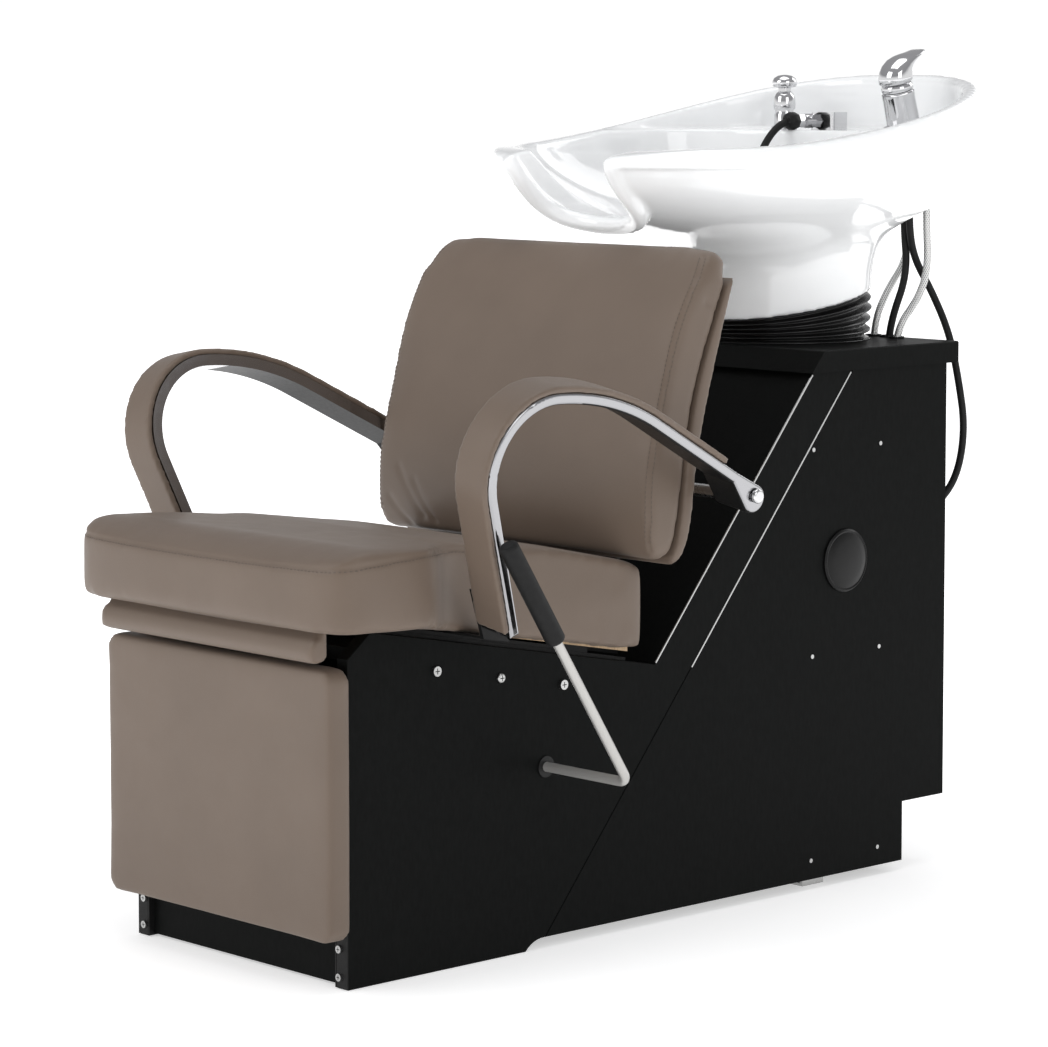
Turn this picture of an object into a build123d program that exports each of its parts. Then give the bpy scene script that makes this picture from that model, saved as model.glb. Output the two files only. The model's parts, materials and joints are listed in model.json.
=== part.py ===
from build123d import *
import os
from math import atan2, copysign, cos, degrees, hypot, pi, radians, sin, tan

# Shampoo backwash unit: a seat with arms and a lever-raised legrest, in front of a cabinet that
# carries a tilting ceramic bowl.  Millimetres.  +X is the sitter's left, the sitter faces -Y, +Z is up.
# The origin is on the floor, in the middle of the four floor anchor holes.

os.makedirs("parts", exist_ok=True)

# ---------------------------------------------------------------- driving dimensions
half_width = 198.0          # outside of the side panels
board = 19.0                # laminated board
inner_half = half_width - board
gap = 0.5                   # assembly gap beside an inner board
front_y = -480.0            # front edge of the base side panels
rear_y = 566.0              # back of the cabinet
foot_rear_y = 484.0         # the cabinet steps in above this toe space
foot_step_z = 92.0
raise_z = 13.0              # the cabinet stands this far off the floor on its glides
cabinet_z = 672.0           # top of the side panels
slab = 28.0
slab_half = 204.0
slab_rear_y = 585.5
lean = 0.83                 # run over rise of the diagonal front
seam_y0 = -179.2            # where the diagonal seam would meet the floor
strip_run = 74.0            # depth in Y of the strip in front of the seam
seat_slope = 10.7           # degrees, the rails rise towards the front
base_top_z = 326.0          # base panel's top edge where it meets the diagonal

anchor_x, anchor_y, anchor_r = 150.0, 330.0, 4.5
rod_y, rod_z, cross_r = 60.0, 543.0, 8.0     # rod behind the backrest that carries the arms
rod_bore = cross_r + 0.02
rod_half = 321.0
foot_y = -316.0             # lower end of the arms' front legs
ear_x = 245.0               # bracket ears that hold them

lever_y, lever_z = -168.0, 222.0
lever_x = 340.0
lever_lean = 33.0           # degrees forward of upright
lever_reach = 350.0
rod_r = 6.0
pivot_y, pivot_z = -410.0, 340.0     # legrest rocker axis
rocker_length = 110.0
knuckle_length = 120.0
knuckle_lean = 29.0         # degrees forward of upright, at rest
crank_length = 50.0
crank_turn = 12.1           # degrees rearward of straight down
pin_r = 4.0
running = 0.05              # radial clearance of a running fit
bush_r, bore_deep = 9.0, 14.0

bowl_y = 450.0              # collar, drain and tilt axis
tilt_z = 738.0
collar_r = 125.0
collar_z = 754.0            # middle of the collar's slanted lower edge
collar_rise = 0.198
band_z = 937.0              # lower edge of the rim band
deck_z = 978.0              # ledge for the taps
deck_under_z = 962.0
basin_z = 838.0             # bottom of the basin
mixer_x, breaker_x, tap_y = 100.0, -117.0, 585.0


def seam_y(z):
    return seam_y0 + lean * z


def strip_y(z):
    return seam_y(z) - strip_run


def base_top(y):
    return base_top_z + tan(radians(seat_slope)) * (strip_y(base_top_z) - y)


def reach(start, angle, length):
    """Point at a length from start; the angle is in degrees from +Z towards -Y."""
    return (start[0] - length * sin(radians(angle)), start[1] + length * cos(radians(angle)))


# ---------------------------------------------------------------- cabinet and base boards
for side, inner_x in (("left", inner_half), ("right", -half_width)):
    with BuildPart() as base_side_panel:
        with BuildSketch(Plane.YZ.offset(inner_x)):
            with BuildLine():
                Polyline((-200, 0), (front_y, 0), (front_y, 385), (-445, base_top(-445)),
                         (strip_y(base_top_z), base_top_z), (strip_y(cabinet_z), cabinet_z),
                         (seam_y(cabinet_z) - gap, cabinet_z), (seam_y(raise_z) - gap, raise_z))
                ThreePointArc((seam_y(raise_z) - gap, raise_z), (-186, 10), (-200, 0))
            make_face()
        extrude(amount=board)
        # blind bore for the legrest's pivot, and the lever's bore on the left
        with BuildSketch(Plane.YZ.offset(inner_half if inner_x > 0 else -inner_half - bore_deep)):
            with Locations((pivot_y, pivot_z)):
                Circle(bush_r)
        extrude(amount=bore_deep, mode=Mode.SUBTRACT)
        if side == "left":
            with BuildSketch(Plane.YZ.offset(inner_half)):
                with Locations((lever_y, lever_z)):
                    Circle(bush_r)
            extrude(amount=board, mode=Mode.SUBTRACT)
        chamfer(base_side_panel.faces().filter_by(Axis.X).sort_by(Axis.X)[0].edges(), 0.7)
        chamfer(base_side_panel.faces().filter_by(Axis.X).sort_by(Axis.X)[-1].edges(), 0.7)
    base_side_panel.part.label = f"base_side_panel_{side}"
    export_step(base_side_panel.part, f"parts/base_side_panel_{side}.step")

    with BuildPart() as cabinet_side_panel:
        with BuildSketch(Plane.YZ.offset(inner_x)):
            with BuildLine():
                Polyline((seam_y(raise_z) + gap, raise_z), (foot_rear_y, raise_z),
                         (foot_rear_y, foot_step_z), (rear_y, foot_step_z), (rear_y, cabinet_z),
                         (seam_y(cabinet_z) + gap, cabinet_z), close=True)
            make_face()
        extrude(amount=board)
        chamfer(cabinet_side_panel.faces().filter_by(Axis.X).sort_by(Axis.X)[0].edges(), 0.7)
        chamfer(cabinet_side_panel.faces().filter_by(Axis.X).sort_by(Axis.X)[-1].edges(), 0.7)
    cabinet_side_panel.part.label = f"cabinet_side_panel_{side}"
    export_step(cabinet_side_panel.part, f"parts/cabinet_side_panel_{side}.step")

inner_width = 2 * (inner_half - gap)
diagonal_run = board / cos(radians(39.7))
front_foot_z = 262.0
with BuildPart() as cabinet_front_panel:
    with BuildSketch(Plane.YZ.offset(-inner_width / 2)):
        with BuildLine():
            Polyline((strip_y(cabinet_z) + 2, cabinet_z), (strip_y(front_foot_z) + 2, front_foot_z),
                     (strip_y(front_foot_z) + 2 + diagonal_run, front_foot_z),
                     (strip_y(cabinet_z) + 2 + diagonal_run, cabinet_z), close=True)
        make_face()
    extrude(amount=inner_width)
cabinet_front_panel.part.label = "cabinet_front_panel"
export_step(cabinet_front_panel.part, "parts/cabinet_front_panel.step")

deck_drop = 22.0
deck_thick = 16.0
deck_rear_y = strip_y(front_foot_z) - 2
with BuildPart() as base_deck:
    with BuildSketch(Plane.YZ.offset(-inner_width / 2)):
        with BuildLine():
            Polyline((-452, base_top(-452) - deck_drop), (deck_rear_y, base_top(deck_rear_y) - deck_drop),
                     (deck_rear_y, base_top(deck_rear_y) - deck_drop - deck_thick),
                     (-452, base_top(-452) - deck_drop - deck_thick), close=True)
        make_face()
    extrude(amount=inner_width)
base_deck.part.label = "base_deck"
export_step(base_deck.part, "parts/base_deck.step")

kick_top_z = 150.0
with BuildPart() as front_kick_panel:
    with BuildSketch(Plane.XY.offset(3)):
        with Locations((0, front_y + 6 + board / 2)):
            Rectangle(inner_width, board)
    extrude(amount=kick_top_z)
front_kick_panel.part.label = "front_kick_panel"
export_step(front_kick_panel.part, "parts/front_kick_panel.step")

with BuildPart() as front_edge_plates:
    for sign in (1, -1):
        with BuildSketch(Plane.XY.offset(1)):
            with Locations((sign * (half_width - board / 2), front_y - 1)):
                Rectangle(board - 0.6, 2)
            with Locations((sign * (inner_half - gap - 1), front_y + 2)):
                Rectangle(2, 8)
        extrude(amount=66)
front_edge_plates.part.label = "front_edge_plates"
export_step(front_edge_plates.part, "parts/front_edge_plates.step")

with BuildPart() as cabinet_floor:
    with BuildSketch(Plane.XY.offset(raise_z + 4)):
        with Locations((0, (seam_y(raise_z) + foot_rear_y) / 2)):
            Rectangle(inner_width, foot_rear_y - seam_y(raise_z) - 2 * board - 12)
        with Locations((inner_half, anchor_y), (-inner_half, anchor_y)):
            Rectangle(104, 48, mode=Mode.SUBTRACT)
    extrude(amount=board)
cabinet_floor.part.label = "cabinet_floor"
export_step(cabinet_floor.part, "parts/cabinet_floor.step")

with BuildPart() as rear_plinth:
    with BuildSketch(Plane.XY.offset(raise_z)):
        with Locations((0, foot_rear_y - 3 - board / 2)):
            Rectangle(inner_width, board)
    extrude(amount=foot_step_z + 20 - raise_z)
rear_plinth.part.label = "rear_plinth"
export_step(rear_plinth.part, "parts/rear_plinth.step")

hose_entry = (150.0, 470.0)          # x, z of the hose hole through the back panel
with BuildPart() as cabinet_back_panel:
    with BuildSketch(Plane.XZ.offset(-(rear_y - 3))):
        with Locations((0, (foot_step_z + cabinet_z) / 2)):
            Rectangle(inner_width, cabinet_z - foot_step_z - 2)
        with Locations(hose_entry):
            Circle(11, mode=Mode.SUBTRACT)
        with Locations((0, foot_step_z + 100)):
            SlotOverall(150, 40, mode=Mode.SUBTRACT)
        with Locations((88, cabinet_z - 60)):
            Rectangle(86, 140, mode=Mode.SUBTRACT)
    extrude(amount=board - 3)
cabinet_back_panel.part.label = "cabinet_back_panel"
export_step(cabinet_back_panel.part, "parts/cabinet_back_panel.step")

hole_r = 9.5               # hose holes
slab_holes = ((86.0, 574.0), (112.5, 561.0), (61.0, 573.0))     # hose holes behind the gaiter
with BuildPart() as cabinet_top:
    with BuildSketch(Plane.YZ.offset(-slab_half)):
        with BuildLine():
            front_low_y = strip_y(cabinet_z) - 9
            Polyline((front_low_y, cabinet_z), (slab_rear_y, cabinet_z), (slab_rear_y, cabinet_z + slab),
                     (front_low_y + lean * slab, cabinet_z + slab), close=True)
        make_face()
    extrude(amount=2 * slab_half)
    with BuildSketch(Plane.XY.offset(cabinet_z)):
        with Locations((0, bowl_y)):
            Circle(62)
        with Locations(*slab_holes):
            Circle(hole_r)
    extrude(amount=slab, mode=Mode.SUBTRACT)
    fillet(cabinet_top.edges().filter_by(Axis.Z).group_by(Axis.Y)[-1], 5)
    chamfer(cabinet_top.faces().sort_by(Axis.Z)[-1].outer_wire().edges(), 1.5)
cabinet_top.part.label = "cabinet_top"
export_step(cabinet_top.part, "parts/cabinet_top.step")

# ---------------------------------------------------------------- fittings on the boards
cap_y, cap_z, cap_r = 366.0, 425.0, 41.0
with BuildPart() as access_caps:
    for sign in (1, -1):
        with BuildSketch(Plane.YZ.offset(sign * half_width)):
            with Locations((cap_y, cap_z)):
                Circle(cap_r)
        extrude(amount=sign * 11)
        fillet(access_caps.faces().sort_by(Axis.X)[-1 if sign > 0 else 0].edges(), 9.5)
access_caps.part.label = "access_caps"
export_step(access_caps.part, "parts/access_caps.step")

cap_rows = [(y, z) for y in (305.0, 434.0) for z in (573.0, 305.0, 38.0)]
side_screws = [(y, base_top(y) - 37) for y in (-345.0, -242.0, -140.0)]
plate_screws_z = (14.0, 47.0)
with BuildPart() as panel_screws:
    for sign in (1, -1):
        with BuildSketch(Plane.YZ.offset(sign * half_width)):
            with Locations(*cap_rows):
                Circle(2.8)
        extrude(amount=sign * 0.8)
        with BuildSketch(Plane.YZ.offset(sign * half_width)):
            with Locations(*side_screws):
                Circle(6)
        extrude(amount=sign * 4)
        fillet(panel_screws.faces().sort_by(Axis.X)[-1 if sign > 0 else 0].edges(), 2.5)
    with BuildSketch(Plane.XZ.offset(-(front_y - 2))):
        with Locations(*[(sign * (half_width - 13), z) for sign in (1, -1) for z in plate_screws_z]):
            Circle(4.5)
    extrude(amount=3)
panel_screws.part.label = "panel_screws"
export_step(panel_screws.part, "parts/panel_screws.step")

with BuildPart() as levelling_feet:
    for y in (-100.0, foot_rear_y - 60):
        with BuildSketch(Plane.XY):
            with Locations((140, y), (-140, y)):
                Circle(16)
        extrude(amount=8)
        with BuildSketch(Plane.XY.offset(8)):
            with Locations((140, y), (-140, y)):
                Circle(5)
        extrude(amount=raise_z + 4 - 8)
levelling_feet.part.label = "levelling_feet"
export_step(levelling_feet.part, "parts/levelling_feet.step")

with BuildPart() as floor_brackets:
    for sign in (1, -1):
        for y in (-anchor_y, anchor_y):
            wall = sign * (inner_half - 2)
            with BuildSketch(Plane.XY):
                with Locations((sign * (inner_half - 24), y)):
                    Rectangle(48, 40)
                with Locations((sign * anchor_x, y)):
                    Circle(anchor_r, mode=Mode.SUBTRACT)
            extrude(amount=4)
            with BuildSketch(Plane.XY.offset(4)):
                with Locations((wall, y)):
                    Rectangle(4, 40)
            extrude(amount=44)
floor_brackets.part.label = "floor_brackets"
export_step(floor_brackets.part, "parts/floor_brackets.step")

rail_front_y, rail_rear_y = -432.0, -14.0
rail_out, rail_in, rail_wall = inner_half - gap, inner_half - gap - 22, 2.5
runner_x = (rail_out + rail_in) / 2


def slope_bar(low, high, y_from, y_to):
    """Outline in YZ of a bar that follows the base panel's sloping top edge."""
    return [(y_from, base_top(y_from) + low), (y_to, base_top(y_to) + low),
            (y_to, base_top(y_to) + high), (y_from, base_top(y_from) + high)]


with BuildPart() as seat_rails_outer:
    for sign in (1, -1):
        with BuildSketch(Plane.YZ.offset(sign * rail_in)):
            with BuildLine():
                Polyline(*slope_bar(-21.5, 4, rail_front_y, rail_rear_y), close=True)
            make_face()
        extrude(amount=sign * (rail_out - rail_in))
        with BuildSketch(Plane.YZ.offset(sign * (rail_in + rail_wall))):
            with BuildLine():
                Polyline(*slope_bar(-19, 6, rail_front_y - 5, rail_rear_y + 5), close=True)
            make_face()
        extrude(amount=sign * (rail_out - rail_in - 2 * rail_wall), mode=Mode.SUBTRACT)
seat_rails_outer.part.label = "seat_rails_outer"
export_step(seat_rails_outer.part, "parts/seat_rails_outer.step")

with BuildPart() as pivot_bushes:
    with BuildSketch(Plane.YZ.offset(inner_half - 12)):
        with Locations((lever_y, lever_z)):
            Circle(9)
            Circle(rod_r + running, mode=Mode.SUBTRACT)
    extrude(amount=board + 12)
    with BuildSketch(Plane.YZ.offset(half_width)):
        with Locations((lever_y, lever_z)):
            Circle(13)
            Circle(rod_r + running, mode=Mode.SUBTRACT)
    extrude(amount=2)
    for x in (inner_half, -inner_half - bore_deep):
        with BuildSketch(Plane.YZ.offset(x)):
            with Locations((pivot_y, pivot_z)):
                Circle(bush_r)
                Circle(rod_r + running, mode=Mode.SUBTRACT)
        extrude(amount=bore_deep)
pivot_bushes.part.label = "pivot_bushes"
export_step(pivot_bushes.part, "parts/pivot_bushes.step")

# ---------------------------------------------------------------- seat frame, boards and upholstery
frame_up = 9.0              # runners stand this far above the panel's top edge
with BuildPart() as seat_frame:
    for sign in (1, -1):
        with BuildSketch(Plane.YZ.offset(sign * runner_x - 6.5)):
            with BuildLine():
                Polyline(*slope_bar(-18, frame_up, -418, -75), close=True)
            make_face()
        extrude(amount=13)
    for y in (-400.0, -120.0):
        with BuildSketch(Plane.YZ.offset(-runner_x - 6.5)):
            with BuildLine():
                Polyline(*slope_bar(frame_up - 3, frame_up + 3, y, y + 45), close=True)
            make_face()
        extrude(amount=2 * runner_x + 13)
    for sign in (1, -1):
        with BuildSketch(Plane.YZ.offset(sign * 120 - 20)):
            with BuildLine():
                Polyline(*slope_bar(frame_up - 3, frame_up + 3, -90, 10), close=True)
            make_face()
        extrude(amount=40)
        with BuildSketch(Plane.YZ.offset(sign * 120 - 20)):
            with BuildLine():
                Polyline((4.5, base_top(10) + 7), (7, 450), (27, 505), (37, 560), (64, 680),
                         (70, 680), (43, 560), (33, 504), (13, 449), (10.5, base_top(10) + 7), close=True)
            make_face()
        extrude(amount=40)
        with BuildSketch(Plane.YZ.offset(sign * 120 - 20)):
            with Locations((rod_y - 5, rod_z)):
                Rectangle(36, 24)
            with Locations((rod_y, rod_z)):
                Circle(rod_bore, mode=Mode.SUBTRACT)
        extrude(amount=40)
seat_frame.part.label = "seat_frame"
export_step(seat_frame.part, "parts/seat_frame.step")

seat_half, waist_half = 256.0, 212.0
seat_front_y, seat_rear_y = -548.0, -8.0
board_low, board_high = frame_up + 3.4, frame_up + 18.0
with BuildPart() as seat_board:
    with BuildSketch(Plane.YZ.offset(-190)):
        with BuildLine():
            Polyline(*slope_bar(board_low, board_high, -505, -22), close=True)
        make_face()
    extrude(amount=380)
seat_board.part.label = "seat_board"
export_step(seat_board.part, "parts/seat_board.step")

with BuildPart() as seat_cushion:
    # side profile, waterfall front edge, top nearly level in front and falling towards the back
    with BuildSketch(Plane.YZ.offset(-seat_half)):
        with BuildLine():
            Polyline((-530, 418), (-487, 418), (-487, base_top(-487) + 13),
                     (seat_rear_y, base_top(seat_rear_y) + 14), (seat_rear_y, 452),
                     (-150, 483), (-330, 508), (-470, 513))
            ThreePointArc((-470, 513), (-520, 508), (seat_front_y, 490))
            Line((seat_front_y, 490), (seat_front_y, 436))
            ThreePointArc((seat_front_y, 436), (-543, 423), (-530, 418))
        make_face()
    extrude(amount=2 * seat_half)
    # the wings hang beside the base panels
    for sign in (1, -1):
        with BuildSketch(Plane.XY.offset(418)):
            with Locations((sign * 231, -430)):
                Rectangle(50, 120)
        extrude(amount=30)
    # seen from above: a bowed front, wings with rounded corners, and a narrower waist
    with BuildSketch(Plane.XY.offset(300)):
        with BuildLine():
            near = [(waist_half, -318), (waist_half + 3, -336), (230, -362), (249, -390), (seat_half, -428),
                    (seat_half, -500), (245, -528), (206, -541), (0, seat_front_y)]
            far = [(-x, y) for x, y in reversed(near[:-1])]
            Spline(*near, *far)
            Polyline(far[-1], (-waist_half, 50), (waist_half, 50), near[0])
        make_face()
    extrude(amount=300, mode=Mode.INTERSECT)
    with BuildSketch(Plane.YZ.offset(-191)):
        with BuildLine():
            Polyline(*slope_bar(0, board_high + 0.3, -506, -5), close=True)
        make_face()
    extrude(amount=382, mode=Mode.SUBTRACT)
seat_cushion.part.label = "seat_cushion"
export_step(seat_cushion.part, "parts/seat_cushion.step")

roll_y, roll_z, roll_r = -523.0, 397.0, 13.0
with BuildPart() as front_roll:
    with BuildSketch(Plane.YZ.offset(-200)):
        with Locations((roll_y, roll_z)):
            Circle(roll_r)
        with Locations((roll_y + 8, roll_z + 13)):
            Rectangle(8, 15)
    extrude(amount=400)
front_roll.part.label = "front_roll"
export_step(front_roll.part, "parts/front_roll.step")

back_half = 256.0
corner_r = 28.0
front_line = [(-37, 466), (-47, 530), (-40, 590), (-22, 660), (4, 745), (32, 795), (66, 838)]
mid_line = [(-7, 463), (7, 515), (19, 595), (32, 657), (60, 735), (86, 795), (100, 828)]
shell_line = [(4, 452), (24, 505), (34, 575), (53, 656), (77, 735), (100, 805)]
with BuildPart() as back_cushion:
    with BuildSketch(Plane.YZ.offset(-back_half)):
        with BuildLine():
            Spline(*front_line)
            ThreePointArc(front_line[-1], (88, 842), mid_line[-1])
            Spline(*mid_line)
            ThreePointArc(mid_line[0], (-24, 461), front_line[0])
        make_face()
    extrude(amount=2 * back_half)
    with BuildSketch(Plane.XZ.offset(300)):
        with Locations((0, 651)):
            RectangleRounded(2 * back_half, 386, corner_r)
    extrude(amount=-600, mode=Mode.INTERSECT)
back_cushion.part.label = "back_cushion"
export_step(back_cushion.part, "parts/back_cushion.step")

with BuildPart() as back_board:
    with BuildSketch(Plane.YZ.offset(-232)):
        with BuildLine():
            near = [(y + 0.8, z) for y, z in mid_line[1:-1]]
            far = [(y + 8.6, z) for y, z in mid_line[1:-1]]
            Spline(*near)
            Line(near[-1], far[-1])
            Spline(*far)
            Line(far[0], near[0])
        make_face()
    extrude(amount=464)
back_board.part.label = "back_board"
export_step(back_board.part, "parts/back_board.step")

with BuildPart() as back_shell:
    with BuildSketch(Plane.YZ.offset(-back_half + 1)):
        with BuildLine():
            lower = [(y + 0.6, z) for y, z in mid_line[:-1]]
            Spline(*lower)
            Line(lower[-1], shell_line[-1])
            Spline(*shell_line)
            Line(shell_line[0], lower[0])
        make_face()
    extrude(amount=2 * back_half - 2)
    with BuildSketch(Plane.XZ.offset(300)):
        with Locations((0, 640)):
            RectangleRounded(2 * back_half - 2, 378, corner_r)
    extrude(amount=-600, mode=Mode.INTERSECT)
    add(back_board.part, mode=Mode.SUBTRACT)
back_shell.part.label = "back_shell"
export_step(back_shell.part, "parts/back_shell.step")

# ---------------------------------------------------------------- arms
arm_tilt = 10.0             # the arms lean outwards
arm_x, arm_z0 = 311.0, 600.0
arm_width = 52.0
bar_thick = 14.0
loop_r = 88.5
lug_r = 18.0
lug = (rod_y, (rod_z - arm_z0) / cos(radians(arm_tilt)))     # in the arm's plane
arm_plane = Plane(origin=(arm_x, 0, arm_z0), x_dir=(0, 1, 0),
                  z_dir=(cos(radians(arm_tilt)), 0, -sin(radians(arm_tilt))))


def arm_curve(outwards, leg, rear):
    """Side view of the arm: a straight front leg, a round loop and a long falling rear."""
    loop = CenterArc((-290, 0), loop_r + outwards, 200, -110)
    Line(loop @ 0 - (loop % 0) * leg, loop @ 0)
    shoulder = JernArc(loop @ 1, loop % 1, 360 + outwards, -27.5)
    return Line(shoulder @ 1, shoulder @ 1 + (shoulder % 1) * rear)


with BuildPart() as arm_bar_left:
    with BuildSketch(arm_plane.offset(-arm_width / 2)):
        with BuildLine():
            rear_line = arm_curve(0, 172, 178)
        trace(line_width=bar_thick)
    extrude(amount=arm_width)
    with BuildSketch(arm_plane.offset(-arm_width / 2)):
        with Locations(rear_line @ 0.93):
            Circle(bar_thick / 2)
        with Locations(lug):
            Circle(lug_r)
        make_hull()
    extrude(amount=arm_width)
    fillet(arm_bar_left.faces().sort_by(Axis.X)[-1].edges(), 4)
    with BuildSketch(Plane.YZ.offset(arm_x - 60)):
        with Locations((rod_y, rod_z)):
            Circle(rod_bore)
    extrude(amount=120, mode=Mode.SUBTRACT)
arm_bar_left.part.label = "arm_bar_left"
export_step(arm_bar_left.part, "parts/arm_bar_left.step")

with BuildPart() as arm_bar_right:
    mirror(arm_bar_left.part, about=Plane.YZ)
arm_bar_right.part.label = "arm_bar_right"
export_step(arm_bar_right.part, "parts/arm_bar_right.step")

pad_thick = 8.0
with BuildPart() as arm_pad_left:
    with BuildSketch(arm_plane.offset(-arm_width / 2)):
        with BuildLine():
            arm_curve(bar_thick / 2 + pad_thick / 2 + 0.1, 164, 138)
        trace(line_width=pad_thick)
    extrude(amount=arm_width)
arm_pad_left.part.label = "arm_pad_left"
export_step(arm_pad_left.part, "parts/arm_pad_left.step")

with BuildPart() as arm_pad_right:
    mirror(arm_pad_left.part, about=Plane.YZ)
arm_pad_right.part.label = "arm_pad_right"
export_step(arm_pad_right.part, "parts/arm_pad_right.step")

with BuildPart() as cross_rod:
    with BuildSketch(Plane.YZ.offset(-rod_half)):
        with Locations((rod_y, rod_z)):
            Circle(cross_r)
    extrude(amount=2 * rod_half)
cross_rod.part.label = "cross_rod"
export_step(cross_rod.part, "parts/cross_rod.step")

with BuildPart() as arm_bolts:
    for sign in (1, -1):
        with BuildSketch(Plane.YZ.offset(sign * (rod_half + 0.1))):
            with Locations((rod_y, rod_z)):
                Circle(6)
        extrude(amount=sign * 9)
        with BuildSketch(Plane.YZ.offset(sign * (rod_half + 9))):
            with Locations((rod_y, rod_z)):
                Circle(9)
        extrude(amount=sign * 5)
        fillet(arm_bolts.faces().sort_by(Axis.X)[-1 if sign > 0 else 0].edges(), 3.5)
        with BuildSketch(Plane.YZ.offset(sign * (ear_x + 5.1))):
            with Locations((foot_y - 6, 440)):
                Circle(5)
        extrude(amount=sign * 3.5)
arm_bolts.part.label = "arm_bolts"
export_step(arm_bolts.part, "parts/arm_bolts.step")

with BuildPart() as arm_brackets:
    for sign in (1, -1):
        with BuildSketch(Plane.YZ.offset(sign * 130)):
            with BuildLine():
                Polyline(*slope_bar(frame_up + 0.2, frame_up + 3.2, foot_y, foot_y + 40), close=True)
            make_face()
        extrude(amount=sign * (ear_x + 5 - 130))
        with BuildSketch(Plane.YZ.offset(sign * ear_x)):
            with BuildLine():
                Polyline((foot_y, base_top(foot_y) + 9.5), (foot_y + 40, base_top(foot_y + 40) + 9.5),
                         (foot_y + 2, 458), (foot_y - 18, 458), close=True)
            make_face()
        extrude(amount=sign * 5)
arm_brackets.part.label = "arm_brackets"
export_step(arm_brackets.part, "parts/arm_brackets.step")

# ---------------------------------------------------------------- lever and legrest linkage
crank_pin = (lever_y + crank_length * sin(radians(crank_turn)),
             lever_z - crank_length * cos(radians(crank_turn)))
link_pin = (pivot_y + crank_pin[0] - lever_y, pivot_z + crank_pin[1] - lever_z)
lever_top = reach((lever_y, lever_z), lever_lean, lever_reach)
crank_x, link_x, rocker_x, knuckle_x, plate = 127.0, 134.0, 141.0, 148.0, 6.0

with BuildPart() as lever_rod:
    with BuildLine():
        FilletPolyline((crank_x, lever_y, lever_z), (lever_x, lever_y, lever_z),
                       (lever_x, *lever_top), radius=15)
    with BuildSketch(Plane(origin=(crank_x, lever_y, lever_z), z_dir=(1, 0, 0))):
        Circle(rod_r)
    sweep()
    with BuildSketch(Plane.YZ.offset(crank_x)):
        with Locations((lever_y, lever_z)):
            Circle(13)
        with Locations(crank_pin):
            Circle(9)
        with BuildLine():
            Polyline((lever_y - 8, lever_z), (lever_y + 10, lever_z), (crank_pin[0] + 8, crank_pin[1]),
                     (crank_pin[0] - 8, crank_pin[1]), close=True)
        make_face()
    extrude(amount=plate)
    with BuildSketch(Plane.YZ.offset(crank_x)):
        with Locations(crank_pin):
            Circle(pin_r)
    extrude(amount=14)
lever_rod.part.label = "lever_rod"
export_step(lever_rod.part, "parts/lever_rod.step")

grip_start = reach((lever_y, lever_z), lever_lean, 214)
grip_dir = (0, -sin(radians(lever_lean)), cos(radians(lever_lean)))
with BuildPart() as lever_grip:
    with BuildSketch(Plane(origin=(lever_x, *grip_start), z_dir=grip_dir)):
        Circle(12)
    extrude(amount=lever_reach - 214 + 6)
    fillet(lever_grip.edges(), 5)
    with BuildSketch(Plane(origin=(lever_x, *grip_start), z_dir=grip_dir)):
        Circle(rod_r)
    extrude(amount=lever_reach - 214, mode=Mode.SUBTRACT)
lever_grip.part.label = "lever_grip"
export_step(lever_grip.part, "parts/lever_grip.step")


def link_outline(start, end, radius):
    """Flat link with round ends, for a sketch on a YZ plane."""
    length = hypot(end[0] - start[0], end[1] - start[1])
    with Locations(((start[0] + end[0]) / 2, (start[1] + end[1]) / 2)):
        turn = degrees(atan2(end[1] - start[1], end[0] - start[0]))
        SlotCenterToCenter(length, 2 * radius, rotation=turn)


with BuildPart() as drag_link:
    with BuildSketch(Plane.YZ.offset(link_x + 0.3)):
        link_outline(crank_pin, link_pin, 8)
        with Locations(crank_pin):
            Circle(pin_r + running, mode=Mode.SUBTRACT)
        with Locations(link_pin):
            Circle(pin_r + 1, mode=Mode.SUBTRACT)
    extrude(amount=plate)
drag_link.part.label = "drag_link"
export_step(drag_link.part, "parts/drag_link.step")

pivot = (pivot_y, pivot_z)
knuckle = (pivot_y, pivot_z - rocker_length)
board_pin = reach(knuckle, knuckle_lean, knuckle_length)
with BuildPart() as legrest_rocker:
    with BuildSketch(Plane.YZ.offset(-inner_half + 1)):
        with Locations(pivot):
            Circle(11)
    extrude(amount=2 * inner_half - 2)
    with BuildSketch(Plane.YZ.offset(-inner_half - bore_deep + 1)):
        with Locations(pivot):
            Circle(rod_r)
    extrude(amount=2 * (inner_half + bore_deep - 1))
    for x in (rocker_x, -rocker_x - plate):
        with BuildSketch(Plane.YZ.offset(x)):
            link_outline(pivot, knuckle, 9)
        extrude(amount=plate)
    for x in (rocker_x, -rocker_x - 14):
        with BuildSketch(Plane.YZ.offset(x)):
            with Locations(knuckle):
                Circle(pin_r)
        extrude(amount=14)
    with BuildSketch(Plane.YZ.offset(rocker_x)):
        with Locations(link_pin):
            Circle(pin_r)
    extrude(amount=-8)
legrest_rocker.part.label = "legrest_rocker"
export_step(legrest_rocker.part, "parts/legrest_rocker.step")

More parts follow.
